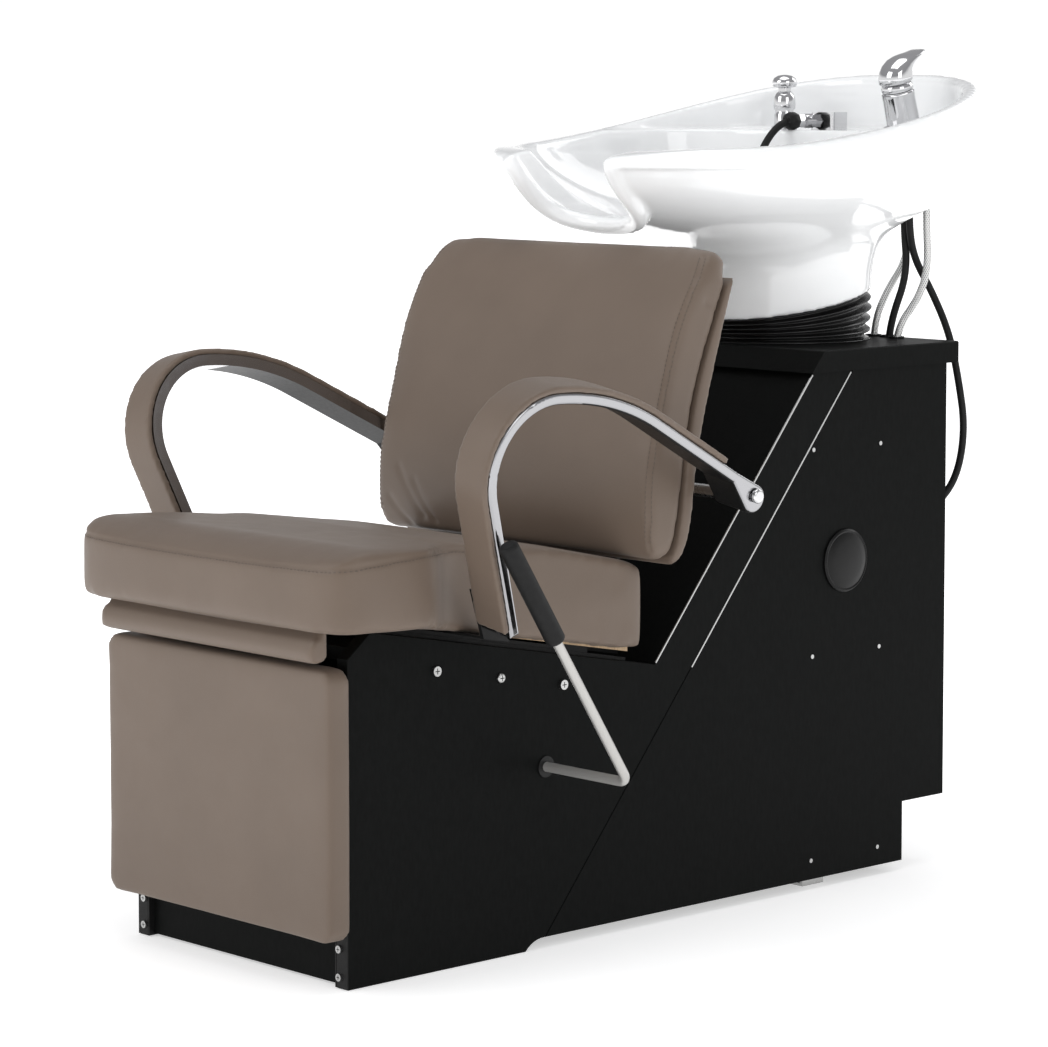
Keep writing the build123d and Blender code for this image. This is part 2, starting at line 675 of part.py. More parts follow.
with BuildPart() as knuckle_links:
    for x in (knuckle_x + 0.3, -knuckle_x - 0.3 - plate):
        with BuildSketch(Plane.YZ.offset(x)):
            link_outline(knuckle, board_pin, 8)
            with Locations(knuckle):
                Circle(pin_r + running, mode=Mode.SUBTRACT)
        extrude(amount=plate)
    for x in (knuckle_x, -knuckle_x + 8):
        with BuildSketch(Plane.YZ.offset(x)):
            with Locations(board_pin):
                Circle(pin_r)
        extrude(amount=-8)
    with BuildSketch(Plane.YZ.offset(-knuckle_x)):
        with Locations(reach(knuckle, knuckle_lean, 70)):
            Circle(6)
    extrude(amount=2 * knuckle_x)
    for x in (knuckle_x - 1, -knuckle_x - 1):
        with BuildSketch(Plane.YZ.offset(x)):
            with Locations(board_pin):
                Circle(pin_r)
            with Locations(reach(knuckle, knuckle_lean, 70)):
                Circle(6)
        extrude(amount=2)
knuckle_links.part.label = "knuckle_links"
export_step(knuckle_links.part, "parts/knuckle_links.step")

legrest_half, legrest_low, legrest_high = 212.0, 58.0, 379.0
legrest_front_y, legrest_back_y = -516.0, -485.0
wood_front_y = -495.0
with BuildPart() as legrest_board:
    with BuildSketch(Plane.XZ.offset(-wood_front_y)):
        with Locations((0, (legrest_low + legrest_high) / 2)):
            RectangleRounded(2 * legrest_half - 20, legrest_high - legrest_low - 20, 10)
    extrude(amount=-(legrest_back_y - wood_front_y))
legrest_board.part.label = "legrest_board"
export_step(legrest_board.part, "parts/legrest_board.step")

with BuildPart() as legrest_pad:
    with BuildSketch(Plane.XZ.offset(-legrest_front_y)):
        with Locations((0, (legrest_low + legrest_high) / 2)):
            RectangleRounded(2 * legrest_half, legrest_high - legrest_low, 20)
    extrude(amount=-(legrest_back_y - legrest_front_y))
    with BuildSketch(Plane.XZ.offset(-wood_front_y + 0.2)):
        with Locations((0, (legrest_low + legrest_high) / 2)):
            RectangleRounded(2 * legrest_half - 19.4, legrest_high - legrest_low - 19.4, 10)
    extrude(amount=-40, mode=Mode.SUBTRACT)
legrest_pad.part.label = "legrest_pad"
export_step(legrest_pad.part, "parts/legrest_pad.step")

with BuildPart() as legrest_brackets:
    for sign in (1, -1):
        with BuildSketch(Plane.YZ.offset(sign * rocker_x)):
            with BuildLine():
                Polyline((legrest_back_y + 0.1, board_pin[1] + 18), (legrest_back_y + 3, board_pin[1] + 18),
                         (board_pin[0] + 6, board_pin[1] + 6), (board_pin[0] + 6, board_pin[1] - 6),
                         (legrest_back_y + 3, board_pin[1] - 40), (legrest_back_y + 0.1, board_pin[1] - 40),
                         close=True)
            make_face()
            with Locations(board_pin):
                Circle(9)
                Circle(pin_r + running, mode=Mode.SUBTRACT)
        extrude(amount=sign * plate)
        with BuildSketch(Plane.XZ.offset(-(legrest_back_y + 0.1))):
            with Locations((sign * (rocker_x - 9), board_pin[1] - 11)):
                Rectangle(24, 58)
        extrude(amount=-3)
legrest_brackets.part.label = "legrest_brackets"
export_step(legrest_brackets.part, "parts/legrest_brackets.step")

# ---------------------------------------------------------------- bowl
bowl_half = 252.0
drain_r, shank_r, outlet_x = 24.0, 13.0, -33.0
bowl_mid_y = 390.0          # widest place of the rim
bowl_front, bowl_rear = 363.0, 310.0
rim_line = [(20, 943), (70, 956), (165, 962), (260, 968), (360, 981), (470, 1000), (570, 1022), (700, 1055)]


def egg(mid_y, half, front, rear, power, steps=28):
    """Points round a superellipse with unequal front and rear lengths."""
    points = []
    for k in range(steps):
        c, s = cos(2 * pi * k / steps), sin(2 * pi * k / steps)
        reach_y = rear if s > 0 else front
        points.append((half * copysign(abs(c) ** (2 / power), c),
                       mid_y + reach_y * copysign(abs(s) ** (2 / power), s)))
    return points


def collar_edge(y):
    return collar_z + collar_rise * (y - bowl_y)


outer_levels = [(band_z, bowl_mid_y, 246, 357, 304, 2.6), (905, 392, 234, 336, 287, 2.5),
                (873, 405, 196, 290, 240, 2.4), (846, 425, 158, 215, 170, 2.2),
                (820, 446, 134, 143, 134, 2.0), (800, 450, 128, 128, 128, 2.0)]
inner_levels = [(1000, 385, 226, 345, 150, 2.6), (deck_z, 380, 222, 330, 154, 2.6),
                (900, 375, 200, 240, 150, 2.5), (872, 380, 172, 190, 130, 2.4),
                (850, 388, 138, 130, 105, 2.3), (basin_z, 392, 112, 96, 84, 2.2)]

with BuildPart() as bowl:
    with BuildSketch(Plane.XY.offset(band_z - 1)):
        with BuildLine():
            Spline(*egg(bowl_mid_y, bowl_half, bowl_front, bowl_rear, 2.6), periodic=True)
        make_face()
    extrude(amount=140)
    for z, mid_y, half, front, rear, power in outer_levels:
        with BuildSketch(Plane.XY.offset(z)):
            with BuildLine():
                Spline(*egg(mid_y, half, front, rear, power), periodic=True)
            make_face()
    loft()
    with BuildSketch(Plane.XY.offset(700)):
        with Locations((0, bowl_y)):
            Circle(collar_r)
    extrude(amount=110)
    # slanted lower edge of the collar
    with BuildSketch(Plane.YZ.offset(-300)):
        with BuildLine():
            Polyline((300, collar_edge(300)), (600, collar_edge(600)), (600, 600), (300, 600), close=True)
        make_face()
    extrude(amount=600, mode=Mode.SUBTRACT)
    # the rim rises towards the rear
    with BuildSketch(Plane.YZ.offset(-300)):
        with BuildLine():
            Spline(*rim_line)
            Polyline(rim_line[-1], (800, 1055), (800, 1100), (0, 1100), (0, 943), rim_line[0])
        make_face()
    extrude(amount=600, mode=Mode.SUBTRACT)
    # basin below the deck and the open space over the deck
    for z, mid_y, half, front, rear, power in inner_levels:
        with BuildSketch(Plane.XY.offset(z)):
            with BuildLine():
                Spline(*egg(mid_y, half, front, rear, power), periodic=True)
            make_face()
    loft(mode=Mode.SUBTRACT)
    with BuildSketch(Plane.XY.offset(deck_z)):
        with BuildLine():
            Spline(*egg(bowl_mid_y, bowl_half - 18, bowl_front - 20, bowl_rear - 18, 2.6), periodic=True)
        make_face()
    extrude(amount=130, mode=Mode.SUBTRACT)
    # neck rest
    with BuildSketch(Plane.XZ.offset(0)):
        with Locations((0, 972)):
            RectangleRounded(172, 208, 36)
    extrude(amount=-200, mode=Mode.SUBTRACT)
    with BuildSketch(Plane.XY.offset(780)):
        with Locations((0, -15)):
            Circle(100)
    extrude(amount=300, mode=Mode.SUBTRACT)
    # hollow collar and outlet
    with BuildSketch(Plane.XY.offset(700)):
        with Locations((0, bowl_y)):
            Circle(collar_r - 14)
    extrude(amount=99, mode=Mode.SUBTRACT)
    with BuildSketch(Plane.XY.offset(700)):
        with Locations((0, bowl_y)):
            Circle(drain_r + 0.5)
    extrude(amount=200, mode=Mode.SUBTRACT)
    # recess under the deck for the tap shanks and hoses
    with BuildSketch(Plane.XY.offset(800)):
        with Locations((0, 578)):
            RectangleRounded(276, 72, 25)
        with Locations((98, 588)):
            RectangleRounded(80, 92, 20)
    extrude(amount=deck_under_z - 800, mode=Mode.SUBTRACT)
    with BuildSketch(Plane.XY.offset(deck_under_z - 10)):
        with Locations((mixer_x, tap_y), (breaker_x, tap_y), (outlet_x, tap_y)):
            Circle(shank_r + 1)
    extrude(amount=60, mode=Mode.SUBTRACT)
bowl.part.label = "bowl"
export_step(bowl.part, "parts/bowl.step")

# ---------------------------------------------------------------- tilting mount, gaiter and drain
ear_gap, ear_thick = 46.0, 8.0
with BuildPart() as bowl_bracket:
    with BuildSketch(Plane.XY.offset(cabinet_z + slab)):
        with Locations((0, bowl_y)):
            Circle(100)
            Circle(58, mode=Mode.SUBTRACT)
    extrude(amount=5)
    for sign in (1, -1):
        with BuildSketch(Plane.YZ.offset(sign * (ear_gap + 16))):
            with Locations((bowl_y, tilt_z)):
                Circle(11)
            with Locations((bowl_y, (cabinet_z + slab + tilt_z) / 2)):
                Rectangle(22, tilt_z - cabinet_z - slab)
            with Locations((bowl_y, tilt_z)):
                Circle(rod_r + running, mode=Mode.SUBTRACT)
        extrude(amount=sign * ear_thick)
bowl_bracket.part.label = "bowl_bracket"
export_step(bowl_bracket.part, "parts/bowl_bracket.step")

yoke_top = 798.5
with BuildPart() as tilt_yoke:
    with BuildSketch(Plane.XY.offset(yoke_top - 6)):
        with Locations((0, bowl_y)):
            Circle(96)
            Circle(40, mode=Mode.SUBTRACT)
    extrude(amount=6)
    for sign in (1, -1):
        with BuildSketch(Plane.YZ.offset(sign * (ear_gap + 6))):
            with Locations((bowl_y, tilt_z)):
                Circle(12)
            with Locations((bowl_y, (yoke_top + tilt_z) / 2 - 1)):
                Rectangle(24, yoke_top - tilt_z - 2)
        extrude(amount=sign * ear_thick)
        with BuildSketch(Plane.YZ.offset(sign * (ear_gap + 13))):
            with Locations((bowl_y, tilt_z)):
                Circle(rod_r)
        extrude(amount=sign * 14)
tilt_yoke.part.label = "tilt_yoke"
export_step(tilt_yoke.part, "parts/tilt_yoke.step")

with BuildPart() as gaiter:
    for radius, high in ((126, 5), (123, 100)):
        with BuildSketch(Plane.XY.offset(cabinet_z + slab)):
            with Locations((0, bowl_y)):
                Circle(radius)
                Circle(116, mode=Mode.SUBTRACT)
        extrude(amount=high)
    with BuildSketch(Plane.YZ.offset(-200)):
        with BuildLine():
            Polyline((250, collar_edge(250) - 0.5), (650, collar_edge(650) - 0.5),
                     (650, 900), (250, 900), close=True)
        make_face()
    extrude(amount=400, mode=Mode.SUBTRACT)
gaiter.part.label = "gaiter"
export_step(gaiter.part, "parts/gaiter.step")

tail_r, tail_low = 19.0, 620.0
with BuildPart() as drain_fitting:
    with BuildSketch(Plane.XY.offset(tail_low)):
        with Locations((0, bowl_y)):
            Circle(tail_r)
    extrude(amount=basin_z - 10 - tail_low)
    with BuildSketch(Plane.XY.offset(yoke_top - 14)):
        with Locations((0, bowl_y)):
            Circle(34)
    extrude(amount=13.5)
    with BuildSketch(Plane.XY.offset(basin_z - 10)):
        with Locations((0, bowl_y)):
            Circle(drain_r)
    extrude(amount=12)
    with BuildSketch(Plane.XY.offset(basin_z - 2)):
        with Locations((0, bowl_y)):
            with PolarLocations(13, 8):
                Circle(3)
            Circle(4)
    extrude(amount=6, mode=Mode.SUBTRACT)
    with BuildSketch(Plane.XY.offset(tail_low)):
        with Locations((0, bowl_y)):
            Circle(tail_r - 2.5)
    extrude(amount=basin_z - 4 - tail_low, mode=Mode.SUBTRACT)
drain_fitting.part.label = "drain_fitting"
export_step(drain_fitting.part, "parts/drain_fitting.step")

# ---------------------------------------------------------------- taps
mixer_lean = 16.0
valve_z = 925.0             # underside of the mixer's valve block
column_r, column_high = 22.0, 56.0


def mixer_plane(height):
    """Plane across the leaning mixer column, at a height along it."""
    axis = (0, -sin(radians(mixer_lean)), cos(radians(mixer_lean)))
    base = (mixer_x, tap_y + 4, deck_z)
    return Plane(origin=tuple(b + height * a for a, b in zip(axis, base)), x_dir=(1, 0, 0), z_dir=axis)


with BuildPart() as mixer_body:
    with BuildSketch(Plane.XY.offset(deck_z)):
        with Locations((mixer_x, tap_y)):
            Circle(column_r + 5)
    extrude(amount=7)
    with BuildSketch(mixer_plane(8)):
        Circle(column_r)
    extrude(amount=column_high - 8)
    with BuildSketch(Plane.XY.offset(valve_z)):
        with Locations((mixer_x, tap_y)):
            Circle(shank_r)
    extrude(amount=deck_z - valve_z)
    with BuildSketch(Plane.XY.offset(valve_z)):
        with Locations((98, 602)):
            RectangleRounded(66, 48, 6)
    extrude(amount=23)
mixer_body.part.label = "mixer_body"
export_step(mixer_body.part, "parts/mixer_body.step")

with BuildPart() as mixer_cap:
    with BuildSketch(mixer_plane(column_high + 0.3)):
        Circle(column_r - 0.5)
    extrude(amount=11)
mixer_cap.part.label = "mixer_cap"
export_step(mixer_cap.part, "parts/mixer_cap.step")

handle_base = mixer_plane(column_high + 11.8).origin
with BuildPart() as mixer_handle:
    with BuildSketch(Plane.YZ.offset(mixer_x - 15)):
        with BuildLine():
            y0, z0 = handle_base.Y, handle_base.Z
            Polyline((y0 + 19, z0 + 5.5), (y0 + 34, z0 + 30), (y0 + 40, z0 + 38), (y0 + 30, z0 + 37),
                     (y0 + 12, z0 + 26), (y0 - 12, z0 + 14), (y0 - 20, z0 - 5.6), close=True)
        make_face()
    extrude(amount=30)
    fillet(mixer_handle.edges().filter_by(Axis.X).sort_by(Axis.Z)[-4:], 3)
mixer_handle.part.label = "mixer_handle"
export_step(mixer_handle.part, "parts/mixer_handle.step")

with BuildPart() as vacuum_breaker:
    for low, high, radius in ((930, deck_z, shank_r), (deck_z, 984, 18), (984, 1000, 12), (1000, 1022, 15),
                              (1022, 1036, 9), (1036, 1053, 17)):
        with BuildSketch(Plane.XY.offset(low)):
            with Locations((breaker_x, tap_y)):
                Circle(radius)
        extrude(amount=high - low)
    fillet(vacuum_breaker.faces().sort_by(Axis.Z)[-1].edges(), 8)
vacuum_breaker.part.label = "vacuum_breaker"
export_step(vacuum_breaker.part, "parts/vacuum_breaker.step")

outlet = (-60.0, 560.0, 990.0)       # end of the hose outlet
with BuildPart() as hose_outlet:
    with BuildSketch(Plane.XY.offset(deck_z)):
        with Locations((outlet_x, tap_y)):
            RectangleRounded(42, 32, 5)
    extrude(amount=24)
    with BuildSketch(Plane.XY.offset(930)):
        with Locations((outlet_x, tap_y)):
            Circle(shank_r)
    extrude(amount=deck_z - 930)
    with BuildSketch(Plane.XZ.offset(-(outlet[1] + 14))):
        with Locations((outlet[0], outlet[2])):
            Circle(10)
    extrude(amount=14)
    with BuildSketch(Plane.YZ.offset(outlet[0])):
        with Locations((outlet[1] + 20, outlet[2])):
            Circle(10)
    extrude(amount=12)
    with BuildSketch(Plane.XZ.offset(-outlet[1])):
        with Locations((outlet[0], outlet[2])):
            Circle(9)
    extrude(amount=-20)
hose_outlet.part.label = "hose_outlet"
export_step(hose_outlet.part, "parts/hose_outlet.step")

with BuildPart() as tap_nuts:
    with BuildSketch(Plane.XY.offset(deck_under_z - 12)):
        with Locations((mixer_x, tap_y), (breaker_x, tap_y), (outlet_x, tap_y)):
            RegularPolygon(20, 6)
            Circle(shank_r, mode=Mode.SUBTRACT)
    extrude(amount=12)
tap_nuts.part.label = "tap_nuts"
export_step(tap_nuts.part, "parts/tap_nuts.step")

# ---------------------------------------------------------------- hoses
hose_r, spray_r = 5.0, 5.0
hose_top = 905.0
hose_routes = {
    "mixed_hose": [(90, 600, hose_top), (90, 600, 850), (90, 609, 785), (87, 579, 722), (86, 574, 676),
                   (86, 560, 636), (86, 538, 608)],
    "cold_hose": [(120, 612, hose_top), (120, 612, 852), (118, 619, 795), (116, 604, 754), (113, 564, 716),
                  (112, 557, 664), (112, 541, 622)],
    "feed_hose": [(106, 592, hose_top), (106, 592, 852), (98, 612, 806), (108, 637, 762), (138, 640, 706),
                  (160, 634, 645), (167, 641, 578), (162, 632, 512), (153, 600, 474), (150, 560, 466),
                  (149, 524, 463)],
    "hot_hose": [(80, 625, hose_top), (80, 625, 852), (72, 626, 800), (59, 604, 762), (61, 576, 722),
                 (61, 573, 670), (61, 558, 630), (61, 536, 602)],
}
coil_y, coil_x, coil_low, coil_r = 395.0, -38.0, 841.0, 55.0
coil_wide, coil_high = 26.0, 22.0
spray_route = [(outlet[0], outlet[1] - 15, outlet[2]), (-60, 525, 990), (-62, 501, 975), (-66, 484, 949),
               (-71, 473, 916), (-81, 452, 887), (-91, 424, 868), (-93, 396, 860)]


def corner_radii(points):
    """Radius of each corner's arc: 0.45 of the shorter run over the tangent of half the turn."""
    corners = [Vector(*p) for p in points]
    radii = []
    for before, here, after in zip(corners, corners[1:], corners[2:]):
        turn = (here - before).get_angle(after - here)
        radii.append(0.45 * min((here - before).length, (after - here).length) / tan(radians(turn) / 2))
    return radii


def print_cord(label, points, radius, part):
    path = FilletPolyline(*points, radius=corner_radii(points))
    print(label, "length", round(path.length), "radii", [round(r) for r in corner_radii(points)],
          "volume over section times length", round(part.volume / (path.length * pi * radius ** 2), 4))


for label, points in hose_routes.items():
    with BuildPart() as hose:
        with BuildLine():
            FilletPolyline(*points, radius=corner_radii(points))
        with BuildSketch(Plane(origin=points[0], z_dir=(0, 0, -1))):
            Circle(hose_r)
        sweep()
    hose.part.label = label
    export_step(hose.part, f"parts/{label}.step")
    print_cord(label, points, hose_r, hose.part)

with BuildPart() as spray_hose:
    with BuildLine():
        FilletPolyline(*spray_route, radius=corner_radii(spray_route))
    first_run = Vector(*spray_route[1]) - Vector(*spray_route[0])
    with BuildSketch(Plane(origin=spray_route[0], z_dir=first_run.normalized())):
        Circle(spray_r)
    sweep()
spray_hose.part.label = "spray_hose"
export_step(spray_hose.part, "parts/spray_hose.step")
print_cord("spray_hose", spray_route, spray_r, spray_hose.part)

with BuildPart() as spray_hose_coil:
    with BuildSketch(Plane.XY.offset(coil_low)):
        with Locations((coil_x, coil_y)):
            Circle(coil_r + coil_wide / 2)
            Circle(coil_r - coil_wide / 2, mode=Mode.SUBTRACT)
    extrude(amount=coil_high)
spray_hose_coil.part.label = "spray_hose_coil"
export_step(spray_hose_coil.part, "parts/spray_hose_coil.step")

# The handset lies in the basin, tangent to the coil, its head raised on the basin's wall
handset_rise = 9.0
handset_plane = Plane(origin=(coil_x + 41.5, coil_y - coil_r, coil_low + 12.5), x_dir=(0, 1, 0),
                      z_dir=(cos(radians(handset_rise)), 0, sin(radians(handset_rise))))
with BuildPart() as spray_head:
    for start, radius, length in ((0, 7, 12), (8, 11, 78), (80, 17, 38)):
        with BuildSketch(handset_plane.offset(start)):
            Circle(radius)
        extrude(amount=length)
spray_head.part.label = "spray_head"
export_step(spray_head.part, "parts/spray_head.step")

with BuildPart() as hose_ferrules:
    with BuildSketch(Plane.XY.offset(hose_top)):
        with Locations(*[points[0][:2] for points in hose_routes.values()]):
            Circle(7)
    extrude(amount=valve_z - hose_top)
    with BuildSketch(Plane.XZ.offset(-outlet[1] + 15)):
        with Locations((outlet[0], outlet[2])):
            RegularPolygon(10, 6)
    extrude(amount=-15)
hose_ferrules.part.label = "hose_ferrules"
export_step(hose_ferrules.part, "parts/hose_ferrules.step")

with BuildPart() as hose_grommets:
    for low, outer, high in ((cabinet_z + slab - 10, hole_r, 10), (cabinet_z + slab, hole_r + 1.5, 2.5)):
        with BuildSketch(Plane.XY.offset(low)):
            with Locations(*slab_holes):
                Circle(outer)
                Circle(hole_r - 1, mode=Mode.SUBTRACT)
        extrude(amount=high)
    for near, outer, deep in ((rear_y - 13, 11, 10), (rear_y - 3, 14, 2.5)):
        with BuildSketch(Plane.XZ.offset(-near)):
            with Locations(hose_entry):
                Circle(outer)
                Circle(10, mode=Mode.SUBTRACT)
        extrude(amount=-deep)
hose_grommets.part.label = "hose_grommets"
export_step(hose_grommets.part, "parts/hose_grommets.step")
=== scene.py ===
import json
from math import cos, exp, pi, radians, sin

import bmesh
import bpy
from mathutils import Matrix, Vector
from mathutils.bvhtree import BVHTree
from mathutils.kdtree import KDTree


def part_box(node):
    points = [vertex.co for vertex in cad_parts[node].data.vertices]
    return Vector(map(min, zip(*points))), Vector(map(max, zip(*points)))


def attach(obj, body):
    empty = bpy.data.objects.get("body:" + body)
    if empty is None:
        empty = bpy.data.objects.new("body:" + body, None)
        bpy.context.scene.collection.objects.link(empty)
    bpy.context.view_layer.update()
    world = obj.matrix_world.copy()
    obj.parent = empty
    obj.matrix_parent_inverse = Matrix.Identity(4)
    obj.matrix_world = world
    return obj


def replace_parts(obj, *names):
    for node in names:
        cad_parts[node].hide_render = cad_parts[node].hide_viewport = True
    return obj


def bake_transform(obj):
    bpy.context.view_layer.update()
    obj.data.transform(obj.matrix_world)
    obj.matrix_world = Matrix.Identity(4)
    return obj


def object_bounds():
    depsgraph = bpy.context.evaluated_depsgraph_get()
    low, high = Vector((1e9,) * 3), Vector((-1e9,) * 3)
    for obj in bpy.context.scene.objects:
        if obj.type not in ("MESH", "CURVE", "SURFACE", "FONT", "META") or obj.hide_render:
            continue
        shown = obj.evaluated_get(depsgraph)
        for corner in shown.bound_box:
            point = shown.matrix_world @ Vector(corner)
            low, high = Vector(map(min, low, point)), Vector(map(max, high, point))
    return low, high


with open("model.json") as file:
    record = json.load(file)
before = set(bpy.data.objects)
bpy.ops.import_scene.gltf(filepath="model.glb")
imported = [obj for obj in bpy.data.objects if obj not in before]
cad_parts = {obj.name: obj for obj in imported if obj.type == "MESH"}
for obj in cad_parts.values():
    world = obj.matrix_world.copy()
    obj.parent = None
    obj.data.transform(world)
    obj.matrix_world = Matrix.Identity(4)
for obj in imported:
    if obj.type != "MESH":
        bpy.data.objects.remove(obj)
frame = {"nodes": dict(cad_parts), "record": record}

cad_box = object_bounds()
scene = bpy.context.scene
nodes = frame["nodes"]

# Shampoo backwash unit. Metres, +Z up, the sitter faces -Y and +X is the sitter's left.


# ---------------------------------------------------------------- camera, light and floor
def add_camera():
    data = bpy.data.cameras.new("camera")
    data.lens = 127.3
    data.sensor_width = 36
    data.shift_y = -0.12
    camera = bpy.data.objects.new("camera", data)
    camera.location = (3.404, -3.197, 1.048)
    camera.rotation_euler = (radians(90 - 4.925), 0, radians(46.962))
    scene.collection.objects.link(camera)
    scene.camera = camera


def add_light(name, place, target, size, power):
    data = bpy.data.lights.new(name, "AREA")
    data.size = size
    data.energy = power
    light = bpy.data.objects.new(name, data)
    light.location = place
    light.rotation_euler = (Vector(target) - Vector(place)).to_track_quat("-Z", "Y").to_euler()
    scene.collection.objects.link(light)


def add_world():
    """A pale studio: white at the horizon, greyer overhead, so that metal has something to reflect."""
    world = bpy.data.worlds.new("studio")
    scene.world = world
    world.use_nodes = True
    tree = world.node_tree
    coords = tree.nodes.new("ShaderNodeTexCoord")
    split = tree.nodes.new("ShaderNodeSeparateXYZ")
    ramp = tree.nodes.new("ShaderNodeValToRGB")
    tree.links.new(coords.outputs["Generated"], split.inputs[0])
    tree.links.new(split.outputs["Z"], ramp.inputs[0])
    tree.links.new(ramp.outputs["Color"], tree.nodes["Background"].inputs["Color"])
    ramp.color_ramp.elements[0].position = 0.12
    ramp.color_ramp.elements[0].color = (1, 1, 1, 1)
    ramp.color_ramp.elements[1].position = 1.0
    ramp.color_ramp.elements[1].color = (0.42, 0.42, 0.43, 1)
    middle = ramp.color_ramp.elements.new(0.3)
    middle.color = (0.36, 0.36, 0.37, 1)
    tree.nodes["Background"].inputs["Strength"].default_value = 1.02


def add_floor():
    bpy.ops.mesh.primitive_plane_add(size=80, location=(0, 0, cad_box[0][2] - 0.0005))
    floor = bpy.context.object
    floor.name = "floor"
    floor.data.materials.append(make_floor())


# ---------------------------------------------------------------- materials
def plain(name, colour, rough, metal=0.0):
    material = bpy.data.materials.new(name)
    material.use_nodes = True
    shader = material.node_tree.nodes["Principled BSDF"]
    shader.inputs["Base Color"].default_value = (*colour, 1)
    shader.inputs["Roughness"].default_value = rough
    shader.inputs["Metallic"].default_value = metal
    return material


def make_floor():
    """White paper that glows more with the distance, so that it runs into the white backdrop."""
    material = plain("floor_white", (0.85, 0.85, 0.85), 0.8)
    tree = material.node_tree
    shader = tree.nodes["Principled BSDF"]
    coords = tree.nodes.new("ShaderNodeTexCoord")
    distance = tree.nodes.new("ShaderNodeVectorMath")
    distance.operation = "LENGTH"
    glow = tree.nodes.new("ShaderNodeMapRange")
    glow.inputs["From Min"].default_value = 0.5
    glow.inputs["From Max"].default_value = 1.7
    glow.inputs["To Min"].default_value = 0.5
    glow.inputs["To Max"].default_value = 1.0
    tree.links.new(coords.outputs["Object"], distance.inputs[0])
    tree.links.new(distance.outputs["Value"], glow.inputs["Value"])
    tree.links.new(glow.outputs["Result"], shader.inputs["Emission Strength"])
    shader.inputs["Emission Color"].default_value = (1, 1, 1, 1)
    return material


def texture(material, kind, scale, stretch=(1, 1, 1), **inputs):
    """A procedural texture in object coordinates; scale is in cells per metre."""
    tree = material.node_tree
    coords = tree.nodes.new("ShaderNodeTexCoord")
    mapping = tree.nodes.new("ShaderNodeMapping")
    mapping.inputs["Scale"].default_value = stretch
    node = tree.nodes.new(kind)
    tree.links.new(coords.outputs["Object"], mapping.inputs["Vector"])
    tree.links.new(mapping.outputs["Vector"], node.inputs["Vector"])
    node.inputs["Scale"].default_value = scale
    for key, value in inputs.items():
        node.inputs[key.replace("_", " ")].default_value = value
    return node


def vary_colour(material, first, second, scale, stretch=(1, 1, 1)):
    tree = material.node_tree
    noise = texture(material, "ShaderNodeTexNoise", scale, stretch, Detail=5.0)
    ramp = tree.nodes.new("ShaderNodeValToRGB")
    ramp.color_ramp.elements[0].position = 0.32
    ramp.color_ramp.elements[0].color = (*first, 1)
    ramp.color_ramp.elements[1].position = 0.68
    ramp.color_ramp.elements[1].color = (*second, 1)
    tree.links.new(noise.outputs["Fac"], ramp.inputs[0])
    tree.links.new(ramp.outputs["Color"], tree.nodes["Principled BSDF"].inputs["Base Color"])


def vary_roughness(material, low, high, scale):
    tree = material.node_tree
    noise = texture(material, "ShaderNodeTexNoise", scale, Detail=4.0)
    span = tree.nodes.new("ShaderNodeMapRange")
    span.inputs["To Min"].default_value = low
    span.inputs["To Max"].default_value = high
    tree.links.new(noise.outputs["Fac"], span.inputs["Value"])
    tree.links.new(span.outputs["Result"], tree.nodes["Principled BSDF"].inputs["Roughness"])


def add_bump(material, source, socket, strength, depth):
    """Adds a relief to the material, on top of any it already has."""
    tree = material.node_tree
    shader = tree.nodes["Principled BSDF"]
    bump = tree.nodes.new("ShaderNodeBump")
    bump.inputs["Strength"].default_value = strength
    bump.inputs["Distance"].default_value = depth
    tree.links.new(source.outputs[socket], bump.inputs["Height"])
    for link in list(tree.links):
        if link.to_node == shader and link.to_socket.name == "Normal":
            tree.links.new(link.from_socket, bump.inputs["Normal"])
    tree.links.new(bump.outputs["Normal"], shader.inputs["Normal"])


def grain(material, scale, strength, depth, stretch=(1, 1, 1)):
    noise = texture(material, "ShaderNodeTexNoise", scale, stretch, Detail=3.0)
    add_bump(material, noise, "Fac", strength, depth)


def make_vinyl():
    material = plain("taupe_vinyl", (0.140, 0.102, 0.076), 0.5)
    vary_colour(material, (0.134, 0.098, 0.073), (0.147, 0.108, 0.081), 9)
    vary_roughness(material, 0.43, 0.56, 35)
    cells = texture(material, "ShaderNodeTexVoronoi", 950)
    add_bump(material, cells, "Distance", 0.35, 0.00025)
    grain(material, 28, 0.25, 0.0015)
    shader = material.node_tree.nodes["Principled BSDF"]
    shader.inputs["Sheen Weight"].default_value = 0.08
    shader.inputs["Specular IOR Level"].default_value = 0.38
    shader.inputs["Sheen Roughness"].default_value = 0.5
    return material


def make_laminate():
    material = plain("black_laminate", (0.0058, 0.0062, 0.006), 0.4)
    vary_colour(material, (0.0050, 0.0054, 0.0052), (0.0068, 0.0072, 0.0070), 260, (1, 1, 0.35))
    vary_roughness(material, 0.36, 0.48, 60)
    grain(material, 900, 0.12, 0.0002)
    material.node_tree.nodes["Principled BSDF"].inputs["Specular IOR Level"].default_value = 0.03
    return material


def make_plywood():
    material = plain("plywood", (0.42, 0.29, 0.17), 0.6)
    vary_colour(material, (0.36, 0.24, 0.13), (0.50, 0.36, 0.22), 30, (1, 14, 1))
    grain(material, 200, 0.25, 0.0004, (1, 12, 1))
    return material


def make_metal(name, colour, low, high, scale, depth=0.0):
    material = plain(name, colour, low, 1.0)
    vary_roughness(material, low, high, scale)
    if depth:
        grain(material, scale * 3, 0.2, depth)
    return material


def make_satin():
    material = plain("satin_nickel", (0.50, 0.49, 0.47), 0.3, 0.45)
    vary_roughness(material, 0.26, 0.34, 40)
    return material


